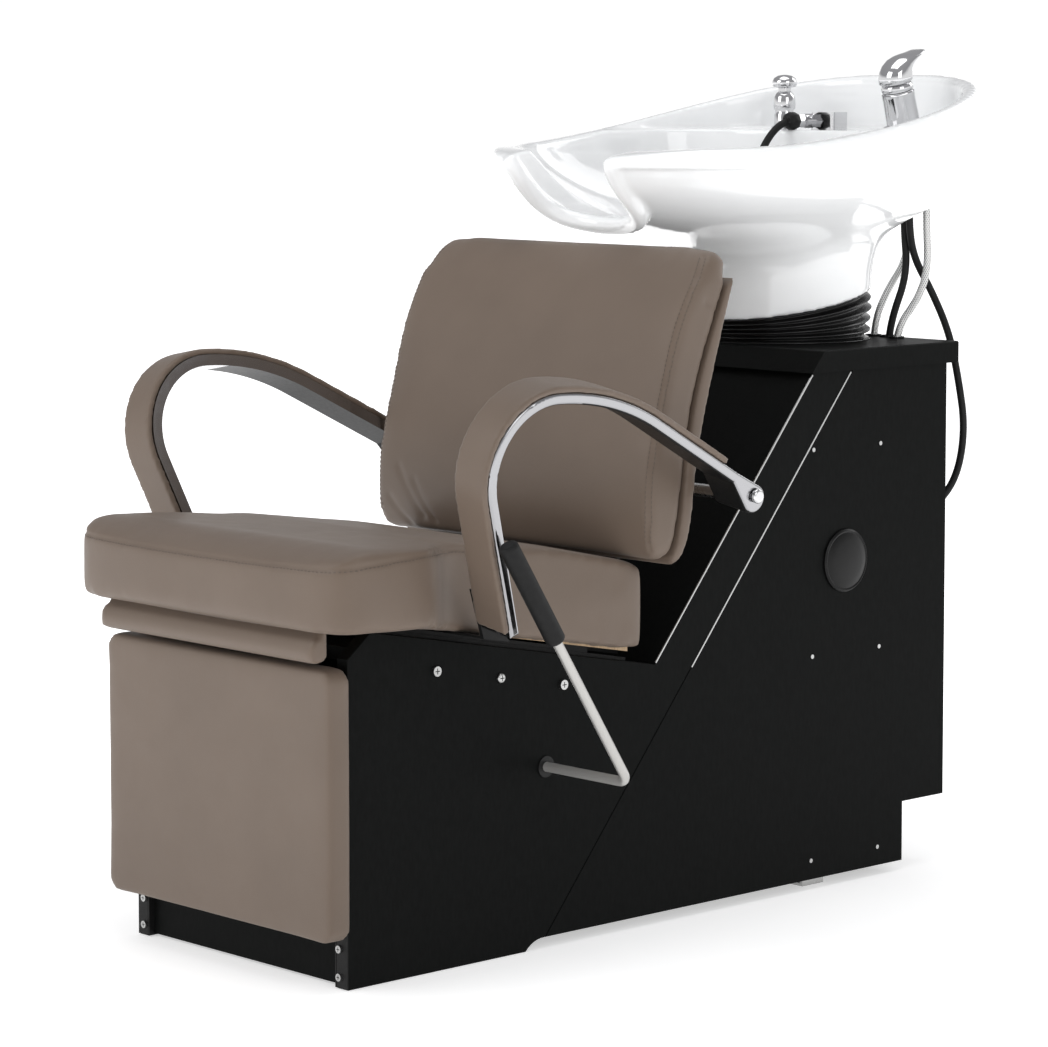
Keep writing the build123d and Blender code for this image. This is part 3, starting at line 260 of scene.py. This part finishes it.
def make_ceramic():
    material = plain("white_glaze", (0.92, 0.93, 0.935), 0.12)
    vary_colour(material, (0.91, 0.92, 0.925), (0.93, 0.94, 0.945), 12)
    vary_roughness(material, 0.07, 0.13, 25)
    grain(material, 22, 0.05, 0.0012)
    shader = material.node_tree.nodes["Principled BSDF"]
    shader.inputs["Coat Weight"].default_value = 0.6
    shader.inputs["Coat Roughness"].default_value = 0.04
    return material


def make_black(name, level, low, high, scale, strength=0.25, depth=0.0003):
    material = plain(name, (level, level, level * 1.03), low)
    vary_colour(material, (level * 0.85,) * 3, (level * 1.25,) * 3, scale / 4)
    vary_roughness(material, low, high, scale / 3)
    grain(material, scale, strength, depth)
    material.node_tree.nodes["Principled BSDF"].inputs["Specular IOR Level"].default_value = 0.2
    return material


def make_gaiter_rubber():
    material = make_black("glossy_rubber", 0.011, 0.16, 0.26, 60, 0.1, 0.0003)
    material.node_tree.nodes["Principled BSDF"].inputs["Specular IOR Level"].default_value = 0.5
    return material


def make_braid():
    """Crossing bands of fine wire round a hose."""
    material = plain("braided_steel", (0.62, 0.62, 0.61), 0.3, 0.9)
    tree = material.node_tree
    shader = tree.nodes["Principled BSDF"]
    bands = []
    for turn in (1, -1):
        node = texture(material, "ShaderNodeTexWave", 150, (turn, turn, 0.8), Distortion=0.6)
        node.bands_direction = "DIAGONAL"
        bands.append(node)
    product = tree.nodes.new("ShaderNodeMath")
    product.operation = "MAXIMUM"
    tree.links.new(bands[0].outputs["Fac"], product.inputs[0])
    tree.links.new(bands[1].outputs["Fac"], product.inputs[1])
    ramp = tree.nodes.new("ShaderNodeValToRGB")
    ramp.color_ramp.elements[0].color = (0.12, 0.12, 0.12, 1)
    ramp.color_ramp.elements[1].color = (0.74, 0.74, 0.73, 1)
    tree.links.new(product.outputs[0], ramp.inputs[0])
    tree.links.new(ramp.outputs["Color"], shader.inputs["Base Color"])
    add_bump(material, product, "Value", 0.6, 0.0006)
    return material


def make_materials():
    return {
        "laminate": make_laminate(),
        "vinyl": make_vinyl(),
        "plywood": make_plywood(),
        "chrome": make_metal("chrome", (0.66, 0.66, 0.67), 0.05, 0.11, 40),
        "cast": make_metal("polished_casting", (0.36, 0.36, 0.37), 0.10, 0.2, 60, 0.0002),
        "steel": make_black("black_powder_coat", 0.008, 0.42, 0.58, 700, 0.4, 0.0003),
        "zinc": make_metal("zinc_plate", (0.46, 0.46, 0.455), 0.22, 0.34, 90, 0.0002),
        "ceramic": make_ceramic(),
        "rubber": make_black("black_rubber", 0.009, 0.45, 0.62, 500),
        "plastic": make_black("black_plastic", 0.009, 0.32, 0.48, 650),
        "cap": make_black("cap_plastic", 0.004, 0.3, 0.4, 400, 0.12, 0.0002),
        "satin": make_satin(),
        "braid": make_braid(),
        "bellows": make_gaiter_rubber(),
        "thread": plain("dark_thread", (0.105, 0.083, 0.068), 0.8),
    }


materials = make_materials()


# ---------------------------------------------------------------- helpers
def paint_cad_nodes():
    """Each carried-over CAD node gets the procedural material of its slot, and softened edges."""
    for part in frame["record"]["subparts"]:
        thing = nodes[part["node"]]
        thing.data.materials.clear()
        satin = part["node"] == "lever_rod"
        thing.data.materials.append(materials["satin" if satin else part["material_slot"]])
        if part["material_slot"] in ("laminate", "chrome", "cast", "zinc", "steel", "cap"):
            bevel = thing.modifiers.new("edges", "BEVEL")
            bevel.width = 0.0035 if part["material_slot"] == "cast" else 0.0007
            bevel.segments = 3
            bevel.limit_method = "ANGLE"
            bevel.angle_limit = radians(40)
            bevel.harden_normals = True


def darken_under_arms():
    """The arms' castings are painted black underneath."""
    for side in ("left", "right"):
        mesh = nodes["arm_bar_" + side].data
        mesh.materials.append(materials["plastic"])
        for face in mesh.polygons:
            if face.normal.z < -0.55 and face.center.y > -0.25:
                face.material_index = 1


def new_mesh(name, verts, faces, slot_name, body=None, smooth=True):
    mesh = bpy.data.meshes.new(name)
    mesh.from_pydata([tuple(v) for v in verts], [], faces)
    mesh.update()
    piece = bpy.data.objects.new(name, mesh)
    scene.collection.objects.link(piece)
    finish_piece(piece, slot_name, body, smooth)
    return piece


def finish_piece(piece, slot_name, body=None, smooth=True):
    piece.data.materials.clear()
    piece.data.materials.append(materials[slot_name])
    if piece.type == "MESH" and smooth:
        piece.data.polygons.foreach_set("use_smooth", [True] * len(piece.data.polygons))
    if body:
        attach(piece, body)


def apply_modifiers(piece):
    depsgraph = bpy.context.evaluated_depsgraph_get()
    mesh = bpy.data.meshes.new_from_object(piece.evaluated_get(depsgraph))
    piece.modifiers.clear()
    piece.data = mesh


def remeshed(name, sources, voxel, *extra):
    """A new object: the given CAD nodes and extra meshes joined into one closed skin of even quads."""
    joined = bmesh.new()
    for mesh in [nodes[source].data for source in sources] + list(extra):
        joined.from_mesh(mesh)
    mesh = bpy.data.meshes.new(name)
    joined.to_mesh(mesh)
    joined.free()
    piece = bpy.data.objects.new(name, mesh)
    scene.collection.objects.link(piece)
    remesh = piece.modifiers.new("remesh", "REMESH")
    remesh.mode = "VOXEL"
    remesh.voxel_size = voxel
    apply_modifiers(piece)
    return piece


def soften(piece, rounds, factor=0.5):
    smooth = piece.modifiers.new("smooth", "SMOOTH")
    smooth.factor = factor
    smooth.iterations = rounds
    apply_modifiers(piece)


def soften_where(piece, chosen, rounds):
    """Smooths only the points for which chosen(point) is true."""
    group = piece.vertex_groups.new(name="part")
    group.add([v.index for v in piece.data.vertices if chosen(v.co)], 1.0, "REPLACE")
    smooth = piece.modifiers.new("smooth", "SMOOTH")
    smooth.vertex_group = "part"
    smooth.iterations = rounds
    apply_modifiers(piece)
    piece.vertex_groups.clear()


def inflate(piece, pressure, most, shrink=0.001, steps=20):
    """Cloth under pressure: points take half of its movement, and none moves further than most."""
    start = [v.co.copy() for v in piece.data.vertices]
    for vertex in piece.data.vertices:
        vertex.co -= vertex.normal * shrink
    cloth = piece.modifiers.new("cloth", "CLOTH")
    cloth.settings.use_pressure = True
    cloth.settings.uniform_pressure_force = pressure
    cloth.settings.effector_weights.gravity = 0
    cloth.settings.tension_stiffness = 12
    cloth.settings.bending_stiffness = 3
    cloth.point_cache.frame_end = steps
    for step in range(1, steps + 1):
        scene.frame_set(step)
    apply_modifiers(piece)
    for vertex, place in zip(piece.data.vertices, start):
        move = (vertex.co - place) / 2
        vertex.co = place + move * min(1, most / max(move.length, 1e-9))
    scene.frame_set(1)


def revolve(name, profile, centre, slot_name, body, axis=(0, 0, 1), steps=48):
    """A turned piece: profile points are (radius, height along the axis)."""
    frame_matrix = Vector(axis).to_track_quat("Z", "X").to_matrix()
    verts, faces = [], []
    for radius, height in profile:
        for k in range(steps):
            turn = 2 * pi * k / steps
            spoke = Vector((radius * cos(turn), radius * sin(turn), height))
            verts.append(Vector(centre) + frame_matrix @ spoke)
    rings = len(profile)
    for i in range(rings - 1):
        for k in range(steps):
            n = (k + 1) % steps
            faces.append((i * steps + k, i * steps + n, (i + 1) * steps + n, (i + 1) * steps + k))
    faces.append(tuple(reversed(range(steps))))
    faces.append(tuple(range((rings - 1) * steps, rings * steps)))
    piece = new_mesh(name, verts, faces, slot_name, body)
    edge = piece.modifiers.new("edge", "EDGE_SPLIT")
    edge.split_angle = radians(38)
    return piece


def hose_curve(name, points, radius):
    """A smooth round hose whose control points are the route's points."""
    curve = bpy.data.curves.new(name, "CURVE")
    curve.dimensions = "3D"
    curve.bevel_depth = radius
    curve.bevel_resolution = 6
    curve.use_fill_caps = True
    spline = curve.splines.new("NURBS")
    spline.points.add(len(points) - 1)
    for point, place in zip(spline.points, points):
        point.co = (*place, 1)
    spline.order_u = 3
    spline.use_endpoint_u = True
    spline.resolution_u = 8
    piece = bpy.data.objects.new(name, curve)
    scene.collection.objects.link(piece)
    return piece


def curve_mesh(piece):
    bpy.context.view_layer.update()
    return bpy.data.meshes.new_from_object(piece.evaluated_get(bpy.context.evaluated_depsgraph_get()))


def bending_hose(name, node, points, slot_name):
    """A supply hose from the bowl to the cabinet, as a mesh tube."""
    curve = hose_curve(name + "_route", points, 0)
    path = [v.co.copy() for v in curve_mesh(curve).vertices]
    curve.data.bevel_depth = hose_d / 2
    piece = bpy.data.objects.new(name, curve_mesh(curve))
    scene.collection.objects.link(piece)
    bpy.data.objects.remove(curve)
    finish_piece(piece, slot_name)
    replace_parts(piece, node)
    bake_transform(piece)


def refine(piece):
    """Halves the faces' size, keeping the skin smooth."""
    finer = piece.modifiers.new("finer", "SUBSURF")
    finer.levels = 1
    finer.render_levels = 1
    apply_modifiers(piece)


def surface_tree(piece):
    mesh = piece.data
    points = [v.co.copy() for v in mesh.vertices]
    return BVHTree.FromPolygons(points, [tuple(p.vertices) for p in mesh.polygons])


def dense(points, step):
    """The same run of points, with a point at every step along it, rounded at the corners."""
    row = [Vector(p) for p in points]
    for _ in range(3):
        cut = [row[0]]
        for a, b in zip(row, row[1:]):
            cut += [a.lerp(b, 0.25), a.lerp(b, 0.75)]
        row = cut + [row[-1]]
    line, carry = [row[0]], 0.0
    for a, b in zip(row, row[1:]):
        length = (b - a).length
        reach = step - carry
        while reach < length:
            line.append(a.lerp(b, reach / length))
            reach += step
        carry = length - (reach - step)
    return line


def press_seam(piece, line, width, depth):
    """Draws the upholstery in along a seam."""
    tree = KDTree(len(line))
    for k, place in enumerate(line):
        tree.insert(place, k)
    tree.balance()
    normals = [v.normal.copy() for v in piece.data.vertices]
    for vertex, normal in zip(piece.data.vertices, normals):
        distance = tree.find(vertex.co)[2]
        if distance < 3 * width:
            vertex.co -= normal * depth * exp(-((distance / width) ** 2))
    piece.data.update()


def stitched_seam(name, piece, points, body, rows=(-0.0035, 0.0035), pitch=0.0056):
    """A pressed seam with rows of short stitches beside it."""
    skin = surface_tree(piece)
    line = [skin.find_nearest(p)[0] for p in dense(points, 0.001)]
    press_seam(piece, line, 0.0026, 0.0016)
    skin = surface_tree(piece)
    stride = round(pitch / 0.001)
    verts, faces = [], []
    for row in rows:
        for k in range(stride, len(line) - stride, stride):
            along = (line[k + 2] - line[k - 2]).normalized()
            normal = skin.find_nearest(line[k])[1]
            across = along.cross(normal).normalized()
            place, normal = skin.find_nearest(line[k] + across * row)[:2]
            bead(verts, faces, place, along, normal, 0.0019, 0.00055)
    new_mesh(name, verts, faces, "thread", body)


def bead(verts, faces, place, along, normal, half, radius):
    """One stitch: a small six-sided spindle lying on the surface."""
    across = along.cross(normal).normalized()
    base = len(verts)
    for shift, size in ((-1, 0.35), (-0.6, 1), (0.6, 1), (1, 0.35)):
        for k in range(6):
            turn = pi * k / 3
            verts.append(place + along * half * shift + across * radius * size * cos(turn)
                         + normal * radius * size * sin(turn))
    for ring in range(3):
        for k in range(6):
            n = (k + 1) % 6
            a, b = base + ring * 6, base + ring * 6 + 6
            faces.append((a + k, a + n, b + n, b + k))
    faces.append(tuple(base + k for k in reversed(range(6))))
    faces.append(tuple(base + 18 + k for k in range(6)))


def loft(name, sections, slot_name, body, steps=40, power=2.0):
    """A skin through ellipses: (centre, direction, half width along X, half depth)."""
    verts, faces = [], []
    for centre, direction, wide, deep in sections:
        depth_way = Vector(direction).normalized().cross(Vector((1, 0, 0)))
        for k in range(steps):
            c, d = cos(2 * pi * k / steps), sin(2 * pi * k / steps)
            c, d = (abs(v) ** (2 / power) * (1 if v >= 0 else -1) for v in (c, d))
            verts.append(Vector(centre) + Vector((1, 0, 0)) * wide * c + depth_way * deep * d)
    for i in range(len(sections) - 1):
        for k in range(steps):
            n = (k + 1) % steps
            faces.append((i * steps + n, i * steps + k, (i + 1) * steps + k, (i + 1) * steps + n))
    faces.append(tuple(range(steps)))
    faces.append(tuple(reversed(range((len(sections) - 1) * steps, len(sections) * steps))))
    piece = new_mesh(name, verts, faces, slot_name, body)
    fix = bmesh.new()
    fix.from_mesh(piece.data)
    bmesh.ops.recalc_face_normals(fix, faces=fix.faces)
    fix.to_mesh(piece.data)
    fix.free()
    return piece


def millimetres(*points):
    return [tuple(c / 1000 for c in point) for point in points]


# ---------------------------------------------------------------- hoses
hose_d = 0.010
outlet = (-60, 545, 990)
coil_centre = (-38, 395)
coil_mean, coil_top, coil_low = 55, 857, 846


def coil_points(turns, per_turn=12):
    """Loose turns in the basin, winding in and out over each other, from the hose to the handset."""
    points = []
    for k in range(1, turns * per_turn + 1):
        angle = pi + 2 * pi * k / per_turn
        layer = k / (turns * per_turn)
        radius = coil_mean + 7.5 * cos(3 * pi * layer)
        points.append((coil_centre[0] + radius * cos(angle), coil_centre[1] + radius * sin(angle),
                       coil_top - (coil_top - coil_low) * layer))
    return points


def add_hoses():
    bending_hose("mixed_water_hose", "mixed_hose", millimetres(
        (90, 600, 905), (90, 600, 850), (90, 609, 785), (87, 579, 722), (86, 574, 676), (86, 560, 636),
        (86, 538, 608)), "rubber")
    bending_hose("cold_water_hose", "cold_hose", millimetres(
        (120, 612, 905), (120, 612, 852), (118, 619, 795), (116, 604, 754), (113, 564, 716), (112, 557, 664),
        (112, 541, 622)), "braid")
    bending_hose("hot_water_hose", "hot_hose", millimetres(
        (80, 625, 905), (80, 625, 852), (72, 626, 800), (59, 604, 762), (61, 576, 722), (61, 573, 670),
        (61, 558, 630), (61, 536, 602)), "braid")
    bending_hose("feed_water_hose", "feed_hose", millimetres(
        (106, 592, 905), (106, 592, 852), (98, 612, 806), (108, 637, 762), (138, 640, 706), (160, 634, 645),
        (167, 641, 578), (162, 632, 512), (153, 600, 474), (150, 560, 466), (149, 524, 463)), "rubber")
    route = millimetres(outlet, (-60, 525, 990), (-62, 501, 975), (-66, 484, 949), (-71, 473, 916),
                        (-81, 452, 887), (-95, 424, 866), *coil_points(3))
    spray = hose_curve("shower_hose", route, hose_d / 2)
    finish_piece(spray, "rubber")
    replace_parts(spray, "spray_hose", "spray_hose_coil")
    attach(spray, "bowl_unit")


# ---------------------------------------------------------------- soft goods
roll_top = 0.426        # just inside the underside of the seat's nose


def add_seat():
    seat = remeshed("seat_upholstery", ["seat_cushion"], 0.006)
    inflate(seat, 6, 0.0035)
    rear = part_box("seat_cushion")[1][1]
    soften_where(seat, lambda p: p.y > rear - 0.03, 30)
    soften_where(seat, lambda p: p.y < -0.46 and abs(p.x) > 0.21, 14)
    soften(seat, 6)
    refine(seat)
    right = [(-0.212, -0.29, 0.498), (-0.215, -0.336, 0.502), (-0.230, -0.363, 0.504),
             (-0.248, -0.392, 0.505), (-0.254, -0.430, 0.504), (-0.254, -0.496, 0.500),
             (-0.243, -0.527, 0.497), (-0.205, -0.540, 0.496)]
    left = [(-x, y, z) for x, y, z in reversed(right)]
    stitched_seam("seat_stitches", seat, right + [(0, -0.547, 0.497)] + left, "chair", rows=(0.003,))
    finish_piece(seat, "vinyl", "chair")
    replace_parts(seat, "seat_cushion")
    roll = remeshed("nose_fold", ["front_roll"], 0.004)
    tuck(roll, roll_top)
    soften(roll, 4)
    finish_piece(roll, "vinyl", "chair")
    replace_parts(roll, "front_roll")


def tuck(piece, height):
    """Draws the upper half of a piece up to the given height."""
    zs = [v.co.z for v in piece.data.vertices]
    middle, top = (min(zs) + max(zs)) / 2, max(zs)
    for vertex in piece.data.vertices:
        if vertex.co.z > middle:
            vertex.co.z = middle + (vertex.co.z - middle) * (height - middle) / (top - middle)


def add_back():
    back = remeshed("back_upholstery", ["back_cushion"], 0.006)
    inflate(back, 6, 0.0035)
    soften_where(back, lambda p: p.z > 0.80 and abs(p.x) > 0.195, 50)
    soften(back, 6)
    refine(back)
    for name, sign in (("left", 1), ("right", -1)):
        seam = [(0.236, 0.060, 0.838), (0.246, 0.040, 0.808), (0.247, 0.020, 0.775), (0.247, 0.0, 0.733),
                (0.247, -0.020, 0.668), (0.247, -0.038, 0.595), (0.247, -0.045, 0.532),
                (0.244, -0.035, 0.478)]
        seam = [(sign * x, y, z) for x, y, z in seam]
        stitched_seam("back_stitches_" + name, back, seam, "chair", rows=(-0.004, 0.004))
        pucker = [(sign * 0.256, 0.050, 0.776), (sign * 0.256, 0.068, 0.768)]
        press_seam(back, dense(pucker, 0.002), 0.004, 0.003)
    creases = (((-0.205, -0.046, 0.545), (-0.165, -0.042, 0.485)),
               ((-0.175, -0.046, 0.530), (-0.145, -0.040, 0.480)),
               ((-0.225, -0.044, 0.505), (-0.195, -0.038, 0.472)))
    for start, end in creases:
        press_seam(back, dense([start, end], 0.002), 0.006, 0.0022)
    finish_piece(back, "vinyl", "chair")
    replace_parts(back, "back_cushion")
    cover = remeshed("back_cover", ["back_shell"], 0.003)
    soften(cover, 16)
    finish_piece(cover, "vinyl", "chair")
    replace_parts(cover, "back_shell")


def add_legrest():
    pad = remeshed("legrest_upholstery", ["legrest_pad"], 0.005)
    inflate(pad, 5, 0.002)
    soften(pad, 6)
    finish_piece(pad, "vinyl", "legrest")
    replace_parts(pad, "legrest_pad")


def add_arm_bands():
    for side in ("left", "right"):
        band = remeshed("arm_band_" + side, ["arm_pad_" + side], 0.0025)
        soften(band, 8)
        finish_piece(band, "vinyl", "chair")
        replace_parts(band, "arm_pad_" + side)


# ---------------------------------------------------------------- bowl
def notch_lip():
    """A rolled edge round the neck rest, from ear to ear."""
    half = [(0.096, 0.040, 0.947), (0.090, 0.050, 0.930), (0.089, 0.070, 0.907), (0.087, 0.093, 0.886),
            (0.072, 0.117, 0.869), (0.036, 0.133, 0.861)]
    points = half + [(0, 0.136, 0.859)] + [(-x, y, z) for x, y, z in reversed(half)]
    curve = hose_curve("lip_route", points, 0.012)
    mesh = curve_mesh(curve)
    bpy.data.objects.remove(curve)
    return mesh


def rim_top(y):
    """Height of the bowl's rim, which rises towards the rear."""
    rise = ((0.02, 0.943), (0.07, 0.956), (0.26, 0.968), (0.36, 0.981), (0.47, 1.0), (0.57, 1.022),
            (0.71, 1.058))
    for (near, low), (far, high) in zip(rise, rise[1:]):
        if y < far:
            return low + (high - low) * (y - near) / (far - near)
    return rise[-1][1]


def add_bowl():
    bowl = remeshed("ceramic_bowl", ["bowl"], 0.003, notch_lip())
    soften_where(bowl, lambda p: 0.776 < p.z < 0.875 and p.y > 0.2, 260)
    soften_where(bowl, lambda p: p.z > rim_top(p.y) - 0.013, 24)
    soften(bowl, 8)
    finish_piece(bowl, "ceramic", "bowl_unit")
    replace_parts(bowl, "bowl")


def rim_height(y):
    """Slanted lower edge of the bowl's collar."""
    return 0.754 + 0.198 * (y - 0.45)


def add_gaiter():
    """Five folds of rubber, pressed together at the front where the collar comes down."""
    steps, folds, levels = 96, 5, 60
    low, centre_y = top_of("cabinet_top") + 0.0005, 0.45
    verts, faces = [], []
    for inner in (False, True):
        for i in range(levels + 1):
            t = i / levels
            for k in range(steps):
                turn = 2 * pi * k / steps
                wave = cos(2 * pi * folds * t + 0.5 * sin(2 * turn + 4 * t))
                radius = 0.1195 + (0.0045 + 0.001 * sin(3 * turn + 9 * t)) * wave - 0.005 * inner
                y = centre_y + radius * sin(turn)
                high = rim_height(y) - 0.0005
                verts.append((radius * cos(turn), y, low + (high - low) * t))
    ring = (levels + 1) * steps
    for i in range(levels):
        for k in range(steps):
            n = (k + 1) % steps
            a, b, c, d = i * steps + k, i * steps + n, (i + 1) * steps + n, (i + 1) * steps + k
            faces.append((a, b, c, d))
            faces.append((ring + d, ring + c, ring + b, ring + a))
    for k in range(steps):
        n = (k + 1) % steps
        faces.append((n, k, ring + k, ring + n))
        top = levels * steps
        faces.append((top + k, top + n, ring + top + n, ring + top + k))
    gaiter = new_mesh("bellows", verts, faces, "bellows")
    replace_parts(gaiter, "gaiter")
    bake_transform(gaiter)


def top_of(node):
    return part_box(node)[1][2]


# ---------------------------------------------------------------- taps
lean = radians(16)
column_way = Vector((0, -sin(lean), cos(lean)))
column_foot = Vector((0.100, 0.589, 0.978))


def up_column(height):
    return column_foot + column_way * height


def add_mixer():
    column = [(0.0228, 0.004), (0.0230, 0.010), (0.0224, 0.014), (0.0218, 0.046), (0.0222, 0.049),
              (0.0222, 0.0530), (0.0205, 0.0545), (0.0205, 0.0555), (0.012, 0.0559)]
    turned = revolve("mixer_column", column, column_foot, "chrome", "bowl_unit", column_way)
    foot = [(0.0265, 0.0), (0.0268, 0.0025), (0.0258, 0.0045), (0.0242, 0.0058), (0.0225, 0.0062)]
    revolve("mixer_foot", foot, (0.100, 0.585, 0.978), "chrome", "bowl_unit")
    shank = [(0.013, -0.016), (0.013, 0.0)]
    revolve("mixer_shank", shank, (0.100, 0.585, 0.978), "chrome", "bowl_unit")
    block = [(0.010, -0.053), (0.024, -0.052), (0.0275, -0.049), (0.0275, -0.034), (0.024, -0.031),
             (0.010, -0.030)]
    revolve("mixer_valve", block, (0.098, 0.602, 0.978), "chrome", "bowl_unit")
    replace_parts(turned, "mixer_body")
    cap = [(0.012, 0.0563), (0.0208, 0.0565), (0.0216, 0.058), (0.0216, 0.0625), (0.0200, 0.0650),
           (0.012, 0.0672)]
    collar = revolve("mixer_collar", cap, column_foot, "chrome", "mixer_cap", column_way)
    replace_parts(collar, "mixer_cap")


def add_mixer_lever():
    """A hood over the column that draws out into a flat blade, up and to the rear."""
    sections = []
    for height, rear, rise, tilt, wide, deep in (
            (0.0678, 0.0, 0.0, 0, 0.0212, 0.0212), (0.0695, 0.0, 0.0, 0, 0.0222, 0.0222),
            (0.0745, 0.0005, 0.0, 6, 0.0222, 0.0220), (0.0795, 0.0025, 0.0010, 14, 0.0219, 0.0210),
            (0.0845, 0.0070, 0.0025, 24, 0.0212, 0.0188), (0.0890, 0.0140, 0.0045, 34, 0.0202, 0.0156),
            (0.0925, 0.0225, 0.0060, 42, 0.0190, 0.0120), (0.0950, 0.0310, 0.0075, 48, 0.0178, 0.0086),
            (0.0965, 0.0395, 0.0095, 52, 0.0164, 0.0056), (0.0975, 0.0470, 0.0120, 54, 0.0148, 0.0036),
            (0.0980, 0.0520, 0.0140, 55, 0.0124, 0.0020)):
        centre = up_column(height) + Vector((0, rear, rise))
        turn = radians(tilt) - lean
        sections.append((centre, (0, sin(turn), cos(turn)), wide, deep))
    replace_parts(loft("mixer_lever", sections, "chrome", "mixer_handle", power=2.3), "mixer_handle")


def add_vacuum_breaker():
    profile = [(0.0130, -0.048), (0.0130, -0.0002), (0.0178, 0.0), (0.0180, 0.0035), (0.0150, 0.0055),
               (0.0142, 0.0100), (0.0142, 0.0200), (0.0128, 0.0225), (0.0128, 0.0260), (0.0150, 0.0285),
               (0.0154, 0.0340),
               (0.0146, 0.0440), (0.0118, 0.0490), (0.0088, 0.0520), (0.0086, 0.0565), (0.0155, 0.0585),
               (0.0174, 0.0615), (0.0172, 0.0660), (0.0148, 0.0705), (0.0095, 0.0738), (0.0030, 0.0750)]
    turned = revolve("vacuum_breaker_body", profile, (-0.117, 0.585, 0.978), "chrome", "bowl_unit")
    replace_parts(turned, "vacuum_breaker")


def add_hose_nut():
    """Black eight-sided nut where the shower hose starts."""
    profile = [(0.0085, -0.0015), (0.0118, 0.0), (0.0122, 0.0020), (0.0122, 0.0125), (0.0105, 0.0150),
               (0.0070, 0.0165), (0.0062, 0.0190)]
    centre = [c / 1000 for c in outlet]
    revolve("hose_nut", profile, centre, "plastic", "bowl_unit", (0, -1, 0), steps=8)


# ---------------------------------------------------------------- cabinet details
def add_painted_edge_highlights():
    """Two thin zinc strips on each side, along the diagonal strip's edges: a painted highlight that stands
    in for the light caught by the rounded panel edges.
    """
    stripes = ((0.0195, 0.328, 0.3025, 0.6695), (0.0830, 0.3155, 0.3755, 0.6695))
    stripe_section = ((-0.0014, -0.0006), (-0.0009, 0.0005), (0.0009, 0.0005), (0.0014, -0.0006))
    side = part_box("base_side_panel_left")[1][0]
    for name, sign in (("left", 1), ("right", -1)):
        verts, faces = [], []
        for low_y, low_z, high_y, high_z in stripes:
            along = Vector((0, high_y - low_y, high_z - low_z)).normalized()
            across = Vector((sign, 0, 0)).cross(along)
            base = len(verts)
            for y, z in ((low_y, low_z), (high_y, high_z)):
                for offset, out in stripe_section:
                    verts.append(Vector((sign * (side + out), y, z)) + across * offset)
            for k in range(4):
                n = (k + 1) % 4
                faces.append((base + k, base + n, base + 4 + n, base + 4 + k))
            faces.append((base + 3, base + 2, base + 1, base))
            faces.append((base + 4, base + 5, base + 6, base + 7))
        # Painted highlight: these zinc strips stand in for light caught along the rounded panel edges.
        new_mesh("painted_edge_highlights_" + name, verts, faces, "zinc", "cabinet", smooth=False)


side_screws = ((-0.345, 0.3575), (-0.242, 0.3380), (-0.140, 0.3187))
plate_screws = (0.014, 0.047)


def add_painted_screw_shade():
    """Flat dark crosses on the heads of the side and plate screws: painted shade standing in for their cross
    recesses.
    """
    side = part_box("base_side_panel_left")[1][0] + 0.0041
    front = -0.4851
    for name, sign in (("left", 1), ("right", -1)):
        verts, faces = [], []
        for y, z in side_screws:
            cross(verts, faces, Vector((sign * side, y, z)), Vector((sign, 0, 0)), 0.0036)
        for z in plate_screws:
            cross(verts, faces, Vector((sign * (side - 0.0171), front, z)), Vector((0, -1, 0)), 0.0028)
        # Painted shade: flat black crosses in place of the shadowed screw recesses.
        new_mesh("painted_screw_shade_" + name, verts, faces, "plastic", "cabinet", smooth=False)


def cross(verts, faces, centre, normal, reach):
    """A flat cross with tapered ends, facing along the normal."""
    up = Vector((0, 0, 1))
    across = normal.cross(up)
    for first, second in ((up, across), (across, up)):
        base = len(verts)
        for along, wide in ((-1, 0.10), (-0.7, 0.16), (0.7, 0.16), (1, 0.10)):
            for edge in (-1, 1):
                point = centre + first * reach * along + second * reach * wide * edge
                verts += [point, point - normal * 0.001]
        for k in range(3):
            a = base + 4 * k
            faces.append((a, a + 2, a + 6, a + 4))
            faces.append((a + 1, a + 5, a + 7, a + 3))
            faces.append((a, a + 4, a + 5, a + 1))
            faces.append((a + 2, a + 3, a + 7, a + 6))
        faces.append((base, base + 1, base + 3, base + 2))
        faces.append((base + 12, base + 14, base + 15, base + 13))


def add_caps():
    """Shallow domed covers over the access holes."""
    low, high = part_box("access_caps")
    middle_y, middle_z = (low[1] + high[1]) / 2, (low[2] + high[2]) / 2
    profile = [(0.041, 0.0), (0.041, 0.0025), (0.0385, 0.0042), (0.0365, 0.0036), (0.0345, 0.0046),
               (0.025, 0.0064), (0.012, 0.0074), (0.001, 0.0077)]
    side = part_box("cabinet_side_panel_left")[1][0]
    pieces = []
    for name, sign in (("left", 1), ("right", -1)):
        centre = (sign * (side + 0.0002), middle_y, middle_z)
        pieces.append(revolve("side_cap_" + name, profile, centre, "cap", "cabinet", (sign, 0, 0)))
    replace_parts(pieces[0], "access_caps")


add_camera()
add_world()
add_light("key", (-1.2, -3.6, 3.0), (0, 0, 0.5), 2.4, 56)
add_light("side", (3.8, -0.6, 2.4), (0, 0, 0.6), 2.0, 26)
add_light("rear", (0.5, 3.6, 2.6), (0, 0.2, 0.7), 2.0, 26)
add_light("top", (0, 0.2, 3.4), (0, 0.1, 0), 2.2, 26)
add_floor()
add_hoses()
paint_cad_nodes()
add_seat()
add_back()
add_legrest()
add_arm_bands()
add_bowl()
add_gaiter()
add_mixer()
add_mixer_lever()
add_vacuum_breaker()
add_hose_nut()
add_painted_edge_highlights()
add_caps()
add_painted_screw_shade()
darken_under_arms()

scene.view_settings.view_transform = "Standard"
